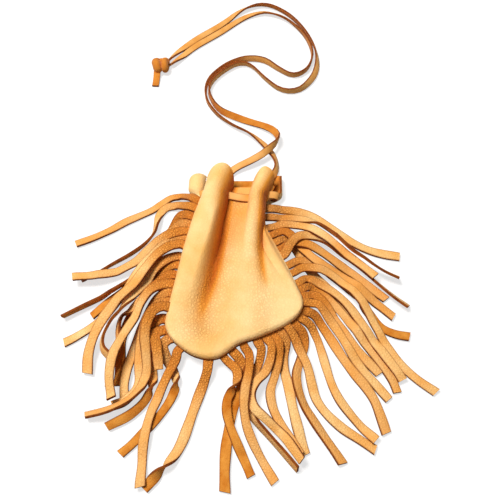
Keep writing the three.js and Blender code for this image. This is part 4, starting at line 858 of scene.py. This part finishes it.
def gathered(share, y, left_x, right_x, edge_height):
    """Plan place and height across the neck where it is fully drawn in, and how far up a fold it is."""
    slant = SLANT_ABOVE if y > LACE_Y else SLANT_BELOW
    valley_left, valley_right = (VALLEY_X[k] + (y - LACE_Y) * slant[k] for k in (0, 1))
    crease = float(np.interp(y, CREASE_Y, CREASE_X))
    crease_height = min(edge_height, NECK_EDGE_HEIGHT) - 0.4
    loose = 1 - float(smoothstep(y, *LOOSE_Y))
    valley_low = lerp(VALLEY_HEIGHT, CREASE_HEIGHT, loose)
    valley_top = VALLEY_HEIGHT + VALLEY_CLIMB * loose
    overhang = RIDGE_OVERHANG
    tube = loose
    if share <= MAIN_FOLD_END:
        q = share / MAIN_FOLD_END * 2 - 1
        start, end, crest = left_x, valley_left, MAIN_RIDGE_HEIGHT
        low = lerp(edge_height, valley_low, (q + 1) / 2)
        overhang = lerp(RIDGE_OVERHANG, LOOSE_OVERHANG, loose * float(smoothstep(q, -0.2, 0.4)))
        tube = loose * (1 - float(smoothstep(q, 0, 0.1)))
    elif share < SIDE_FOLD_START:
        across = (share - MAIN_FOLD_END) / (SIDE_FOLD_START - MAIN_FOLD_END)
        return lerp(valley_left, valley_right, across), lerp(valley_low, valley_top, across), 0
    elif share < SIDE_FOLD_END:
        q = (share - SIDE_FOLD_START) / (SIDE_FOLD_END - SIDE_FOLD_START) * 2 - 1
        start, end, crest = valley_right, crease, SIDE_RIDGE_HEIGHT
        low = lerp(valley_top, crease_height, (q + 1) / 2)
        leaning = smoothstep(q, 0, 0.3) * smoothstep(y, *SIDE_OVERHANG_Y)
        overhang = lerp(RIDGE_OVERHANG, SIDE_OVERHANG, leaning)
        tube = loose * (1 - 0.7 * float(smoothstep(-q, 0, 0.5)))
    else:
        across = (share - SIDE_FOLD_END) / (1 - SIDE_FOLD_END)
        plump = FLANK_PLUMP * loose * math.sin(math.pi * across)
        return lerp(crease, right_x, across), lerp(crease_height, edge_height, across) + plump, 0
    rise = lerp((1 + math.cos(math.pi * q)) / 2, math.cos(math.pi * q / 2), tube)
    if share <= MAIN_FOLD_END and q > 0:
        rise = lerp(rise, 1 - float(smoothstep(q, PLATEAU, 1)), loose)
    x = (start + end) / 2 + (end - start) / 2 * (q + overhang * math.sin(math.pi * q))
    return x, lerp(low, crest, rise), rise


def rounded(t):
    """A quarter-round rise from the seam to the flat of the panel."""
    return math.sqrt(1 - (1 - min(1, t)) ** 2)


def near(distance, width):
    """A soft hump: 1 at no distance, falling away over a width."""
    return math.exp(-(distance / width) ** 2)


def groove(x, y):
    """How far the leather dips along the two creases, below where the lace draws them in."""
    main = near(x - np.interp(y, GROOVE_Y, GROOVE_X), np.interp(y, GROOVE_Y, GROOVE_WIDTH))
    side = near(x - np.interp(y, CREASE_Y, CREASE_X), SIDE_GROOVE_WIDTH)
    depth = main * np.interp(y, GROOVE_Y, GROOVE_DEPTH) + side * np.interp(y, CREASE_Y, SIDE_GROOVE_DEPTH)
    return float(depth)


def make_panel(name, columns, places):
    """A grid sheet whose points are then moved to their places, row by row."""
    bpy.ops.object.select_all(action="DESELECT")
    bpy.ops.mesh.primitive_grid_add(x_subdivisions=columns, y_subdivisions=ROWS, size=2)
    panel = bpy.context.active_object
    panel.name = name
    for v in panel.data.vertices:
        i = round((v.co.x + 1) / 2 * columns)
        j = round((v.co.y + 1) / 2 * ROWS)
        v.co = Vector(places[j][i]) * MM
    return panel


def turn_edge(panel, columns, top_row, spots, profile):
    """Runs the sheet on from its side and bottom edges, ring by ring, through the turned seam."""
    shape = bmesh.new()
    shape.from_mesh(panel.data)
    shape.verts.ensure_lookup_table()
    width = columns + 1
    index = [j * width for j in range(top_row, 0, -1)]
    index += list(range(width))
    index += [j * width + columns for j in range(1, top_row + 1)]
    ring = [shape.verts[k] for k in index]
    for step in range(len(profile(spots[0][0]))):
        following = []
        for point, inward in spots:
            inside, short, height = profile(point)[step]
            place = point + inward * inside - np.array([0, short])
            following.append(shape.verts.new(Vector((*place, height)) * MM))
        for m in range(len(ring) - 1):
            shape.faces.new((ring[m + 1], ring[m], following[m], following[m + 1]))
        ring = following
    bmesh.ops.recalc_face_normals(shape, faces=shape.faces)
    shape.to_mesh(panel.data)
    shape.free()


def thicken(panel, columns, outside):
    """Gives the sheet its thickness, with grain outside, suede inside and a raw edge, shaded smooth."""
    for finish in (panel_grain, suede, cut_edge):
        panel.data.materials.append(finish)
    if panel.data.polygons[ROWS // 2 * columns + columns // 2].normal.z * outside < 0:
        panel.data.flip_normals()
    pick(panel)
    wall = panel.modifiers.new("leather", "SOLIDIFY")
    wall.thickness = PANEL_THICK * MM
    wall.offset = 0
    wall.material_offset = 1
    wall.material_offset_rim = 2
    bpy.ops.object.modifier_apply(modifier=wall.name)
    smooth_sides(panel, 50)


def rim_spots(left, right, bottom, top_row):
    return [left[j] for j in range(top_row, 0, -1)] + bottom + [right[j] for j in range(1, top_row + 1)]


side_mouth_y = MOUTH_Y - MOUTH_SIDE_DIP
front_left, front_right, front_bottom = panel_edges(COLUMNS, FRONT_MOUTH_X, (side_mouth_y, side_mouth_y),
                                                    lambda t, side: t)
front_top = []
for i, u in enumerate(column_shares(COLUMNS)):
    rise = gathered(i / COLUMNS, MOUTH_Y, *FRONT_MOUTH_X, NECK_EDGE_HEIGHT)[2]
    y = side_mouth_y if i in (0, COLUMNS) else MOUTH_Y - MOUTH_DIP * (1 - rise)
    front_top.append((lerp(*FRONT_MOUTH_X, u), y))
front_plan = patch([p for p, _ in front_left], [p for p, _ in front_right], [p for p, _ in front_bottom],
                   front_top, COLUMNS)
side_length = run_along(seam_line)[-1] * LEFT_CORNER_AT
share_x = column_shares(COLUMNS)
front_places = []
for j in range(ROWS + 1):
    row = []
    for i in range(COLUMNS + 1):
        x, y = front_plan[j, i]
        share = i / COLUMNS
        from_side = min(share_x[i], 1 - share_x[i]) * (front_right[j][0][0] - front_left[j][0][0])
        from_bottom = row_shares[j] * ROWS / SEAM_ROWS * side_length
        swell = rounded(from_side / SWELL_RUN) * rounded(from_bottom / SWELL_RUN)
        edge_height = front_edge_height(share - 0.5, y)
        side = float(smoothstep(share, *LEFT_TO_RIGHT))
        drawn = float(smoothstep(y, lerp(*DRAWN_FROM_Y, side), lerp(*DRAWN_TO_Y, side)))
        neck_x, neck_z, _ = gathered(share, y, front_left[j][0][0], front_right[j][0][0], edge_height)
        inside = 0 < i < COLUMNS and j > 0
        z = lerp(edge_height + CROWN_HEIGHT * swell, neck_z, drawn if inside else 0)
        x = lerp(x, neck_x, drawn if j else 0)
        row.append((x, y, z - groove(x, y) * min(1, 2 * swell)))
    front_places.append(row)
front_panel = make_panel("front_panel_leather", COLUMNS, front_places)
# Painted shade in the fold attribute: the creases, the valley between the folds and the flank beside the side
# fold
fold = front_panel.data.attributes.new("fold", "FLOAT", "POINT")
crowded = front_panel.data.attributes.new("crowded", "FLOAT", "POINT")
for v, tone, crowd in zip(front_panel.data.vertices, fold.data, crowded.data):
    x, y, z = v.co / MM
    from_main = x - np.interp(y, (*GROOVE_Y, *NECK_CREASE_Y), (*GROOVE_X, *NECK_CREASE_X))
    from_side = x - np.interp(y, CREASE_Y, CREASE_X)
    main_shade = near(from_main + MAIN_SHADE_SHIFT, MAIN_SHADE_WIDTH[0 if from_main < -MAIN_SHADE_SHIFT else 1])
    side_shade = near(from_side, SIDE_SHADE_WIDTH[0 if from_side < 0 else 1])
    between = smoothstep(from_main, -2, 2) * (1 - smoothstep(from_side, -11, -8))
    flank = smoothstep(from_side, 0, 2)
    tone.value = max(main_shade * np.interp(y, GROOVE_Y, GROOVE_SHADE),
                     side_shade * np.interp(y, CREASE_Y, SIDE_SHADE),
                     VALLEY_SHADE * float(smoothstep(y, *VALLEY_SHADE_Y) * between),
                     FLANK_SHADE * float(smoothstep(y, *FLANK_SHADE_Y) * flank))
    low_down = float(smoothstep(y, *CROWDED_FROM_Y) * (1 - smoothstep(y, *CROWDED_TO_Y)))
    narrowing = float(smoothstep(y, *CROWDED_NARROWS_Y)) if from_main < 0 else 0
    reach = lerp(*CROWDED_REACH, narrowing)
    near_folds = max(near(from_main, reach), 0.6 * near(from_side + 3, SIDE_CROWDED_REACH))
    crowd.value = PLAIN_CROWDED + FOLD_CROWDED * near_folds * low_down


def front_profile(point):
    lip = front_lip_height(*point)
    turned = []
    for k in range(1, 7):
        angle = math.pi / 2 * k / 6
        turned.append((FOLD_RADIUS * (1 - math.cos(angle)), 0, lip + FOLD_RADIUS * (1 - math.sin(angle))))
    return turned + [(FOLD_RADIUS + SEAM_ALLOWANCE / 2, 0, lip), (FOLD_RADIUS + SEAM_ALLOWANCE, 0, lip)]


turn_edge(front_panel, COLUMNS, SEAM_ROWS, rim_spots(front_left, front_right, front_bottom, SEAM_ROWS),
          front_profile)
# The grain side of the panels: pale gold, with painted shade from warm to deep orange in the creases and
# beside the folds, and pebbles about 1.7 mm apart
panel_grain = leather("panel_buckskin_grain", "#F5BC6A", "#FDD694", 22, 1.1, 0.35, 0.62, 0.03,
                      "#EE9A34", "#B25600", 1.7)
thicken(front_panel, COLUMNS, 1)
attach(front_panel, "root")
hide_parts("front_panel")


# The back panel: the same buckskin, flat on the table, turned up round the seam to meet the front.
# At the mouth its left end is rolled into a lobe, and its right end stands up, open and cut square.
BACK_COLUMNS = 48
SEAM_TUCK = 2.4
# A pair is for the left and the right end of the mouth; the curl is in degrees
LOBE_X = (-30.3, 29.3)
LOBE_RIM_RADIUS = 5
LOBE_LIP = 1.2
LOBE_CURL = (150, 14)
LOBE_WALL = 1.2
LOBE_END_Y = (BACK_MOUTH_Y, BACK_MOUTH_Y + 4.5)
LOBE_EASE = (0.5, 0.23)
LOBE_ROUNDING = (1, 0)
LOBE_TIP_RUN = 5
LOBE_TIP_LOW = 0.45
LOBE_TIP_IN = 0.25
SQUARE_CUT = 0.75


def lobe_share(y):
    return smoothstep(y, SEAM_TOP_Y, SEAM_TOP_Y + 8)


def lobe_tip(y, side):
    """How far the end of a lobe is rounded off, from none to all at the mouth."""
    t = np.clip((y - BACK_MOUTH_Y) / LOBE_TIP_RUN + 1, 0, 1)
    return LOBE_ROUNDING[side] * (1 - math.sqrt(1 - float(t) ** 2))


def back_rim(x, y):
    side = 0 if x < 0 else 1
    return lerp(rim_radius(x, y), LOBE_RIM_RADIUS, lobe_share(y)) * (1 - LOBE_TIP_LOW * lobe_tip(y, side))


def seam_tuck(y):
    """How far the back's turned edge lies in under the front's; nothing at the lobes."""
    return SEAM_TUCK * (1 - smoothstep(y, SEAM_TOP_Y - 12, SEAM_TOP_Y - 2))


def lobe_ease(t, side):
    return smoothstep(t, 0, LOBE_EASE[side]) - LOBE_TIP_IN * lobe_tip(lerp(SEAM_TOP_Y, BACK_MOUTH_Y, t), side)


back_left, back_right, back_bottom = panel_edges(BACK_COLUMNS, LOBE_X, LOBE_END_Y, lobe_ease)
inner = [[p + way * (back_rim(*p) + seam_tuck(p[1])) for p, way in edge]
         for edge in (back_left, back_right, back_bottom)]
back_top = []
for u in column_shares(BACK_COLUMNS):
    x = lerp(inner[0][-1][0], inner[1][-1][0], u)
    back_top.append((x, lerp(*LOBE_END_Y, smoothstep(x, 20, inner[1][-1][0]))))
back_plan = patch(inner[0], inner[1], inner[2], back_top, BACK_COLUMNS)
back_places = [[(x, y, PANEL_THICK / 2) for x, y in row] for row in back_plan]
back_panel = make_panel("back_panel_leather", BACK_COLUMNS, back_places)


def back_profile(point):
    x, y = point
    share = float(lobe_share(y))
    rim = float(back_rim(x, y))
    side = 0 if x < 0 else 1
    front_x = lerp(SEAM_TOP_X[side], FRONT_MOUTH_X[side], (y - SEAM_TOP_Y) / (side_mouth_y - SEAM_TOP_Y))
    curl = math.radians(lerp(90, LOBE_CURL[side], share))
    lip = lerp(SEAM_ALLOWANCE, LOBE_LIP, share)
    room = abs(x - front_x) - PANEL_THICK - 2 * CLEARANCE - lip * math.sin(curl)
    rolled = max(room, FOLD_RADIUS) / (1 - math.cos(curl)) if side == 0 else LOBE_WALL / curl
    fold = lerp(float(fold_radius_back(x, y)), rolled, share)
    turned = []
    for k in range(1, 7):
        angle = math.pi / 2 * k / 6
        turned.append((rim * (1 - math.sin(angle)), PANEL_THICK / 2 + rim * (1 - math.cos(angle))))
    for k in range(1, 9):
        angle = curl * k / 8
        turned.append((fold * (1 - math.cos(angle)), PANEL_THICK / 2 + rim + fold * math.sin(angle)))
    inside, height = turned[-1]
    turned.append((inside + lip * math.sin(curl), height + lip * math.cos(curl)))
    # The upturned end is cut off square, so its wall stops a little short of its floor
    short = SQUARE_CUT * float(smoothstep(y, SEAM_TOP_Y + 4, LOBE_END_Y[1])) * side
    return [(inside + float(seam_tuck(y)), short * (height - PANEL_THICK / 2), height)
            for inside, height in turned]


turn_edge(back_panel, BACK_COLUMNS, ROWS, rim_spots(back_left, back_right, back_bottom, ROWS), back_profile)
thicken(back_panel, BACK_COLUMNS, -1)
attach(back_panel, "root")
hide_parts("back_panel")


# The sewing: one line of waxed linen thread along the turned-in edges, inside the pouch, where it holds
# front, fringe and back together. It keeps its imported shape.
# Waxed linen gives a plain, matt tan line.
thread = leather("waxed_linen_thread", "#B9803A", "#CE9850", 5, 0.4, 0.1, 0.7, 0.1)
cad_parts["seam_thread"].data.materials.clear()
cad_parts["seam_thread"].data.materials.append(thread)


# The table and the light: a white table that the pouch lies on, one soft lamp high over its left side, and a
# pale room. Camera, mirror and see-through rays meet plain white, so that the picture's ground is white.
TABLE_GLOW = 0.68
ROOM_LIGHT = 0.15


def clear_rays(owner):
    """1 for rays that are to see plain white, 0 for the light that falls on things."""
    seen = add_node(owner, "LightPath").outputs
    clear = add_node(owner, "Math", {0: seen["Is Camera Ray"], 1: seen["Is Glossy Ray"]}, operation="ADD")
    clear = add_node(owner, "Math", {0: clear.outputs["Value"], 1: seen["Is Transmission Ray"]},
                     operation="ADD", use_clamp=True)
    return clear.outputs["Value"]


bpy.ops.mesh.primitive_plane_add(size=6, location=(0, 0, -0.0002))
table = bpy.context.active_object
table.name = "table"
# A matt white sheet that keeps a soft grey shadow under the pouch
table_white = bpy.data.materials.new("white_table")
table_white.use_nodes = True
table_shader = table_white.node_tree.nodes["Principled BSDF"]
table_shader.inputs["Base Color"].default_value = linear("#A8A6A4")
table_shader.inputs["Roughness"].default_value = 0.9
table_shader.inputs["Specular IOR Level"].default_value = 0.1
table_shader.inputs["Emission Color"].default_value = (1, 1, 1, 1)
glow = add_node(table_white, "Math", {0: clear_rays(table_white), 1: TABLE_GLOW}, operation="MULTIPLY")
table_white.node_tree.links.new(glow.outputs["Value"], table_shader.inputs["Emission Strength"])
table.data.materials.append(table_white)

world = bpy.data.worlds.new("pale_room")
world.use_nodes = True
world.node_tree.nodes["Background"].inputs["Color"].default_value = (1, 1, 1, 1)
glow = add_node(world, "MapRange", {"Value": clear_rays(world), "To Min": ROOM_LIGHT, "To Max": 1})
world.node_tree.links.new(glow.outputs["Result"], world.node_tree.nodes["Background"].inputs["Strength"])
scene.world = world

lamp_data = bpy.data.lights.new("soft_lamp", "AREA")
lamp_data.shape = "DISK"
lamp_data.size = 0.36
lamp_data.energy = 11.2
lamp = bpy.data.objects.new("soft_lamp", lamp_data)
lamp.location = (-0.3, 0.12, 0.93)
lamp.rotation_euler = (Vector((0, 0.03, 0)) - lamp.location).to_track_quat("-Z", "Y").to_euler()
scene.collection.objects.link(lamp)

bpy.context.view_layer.update()
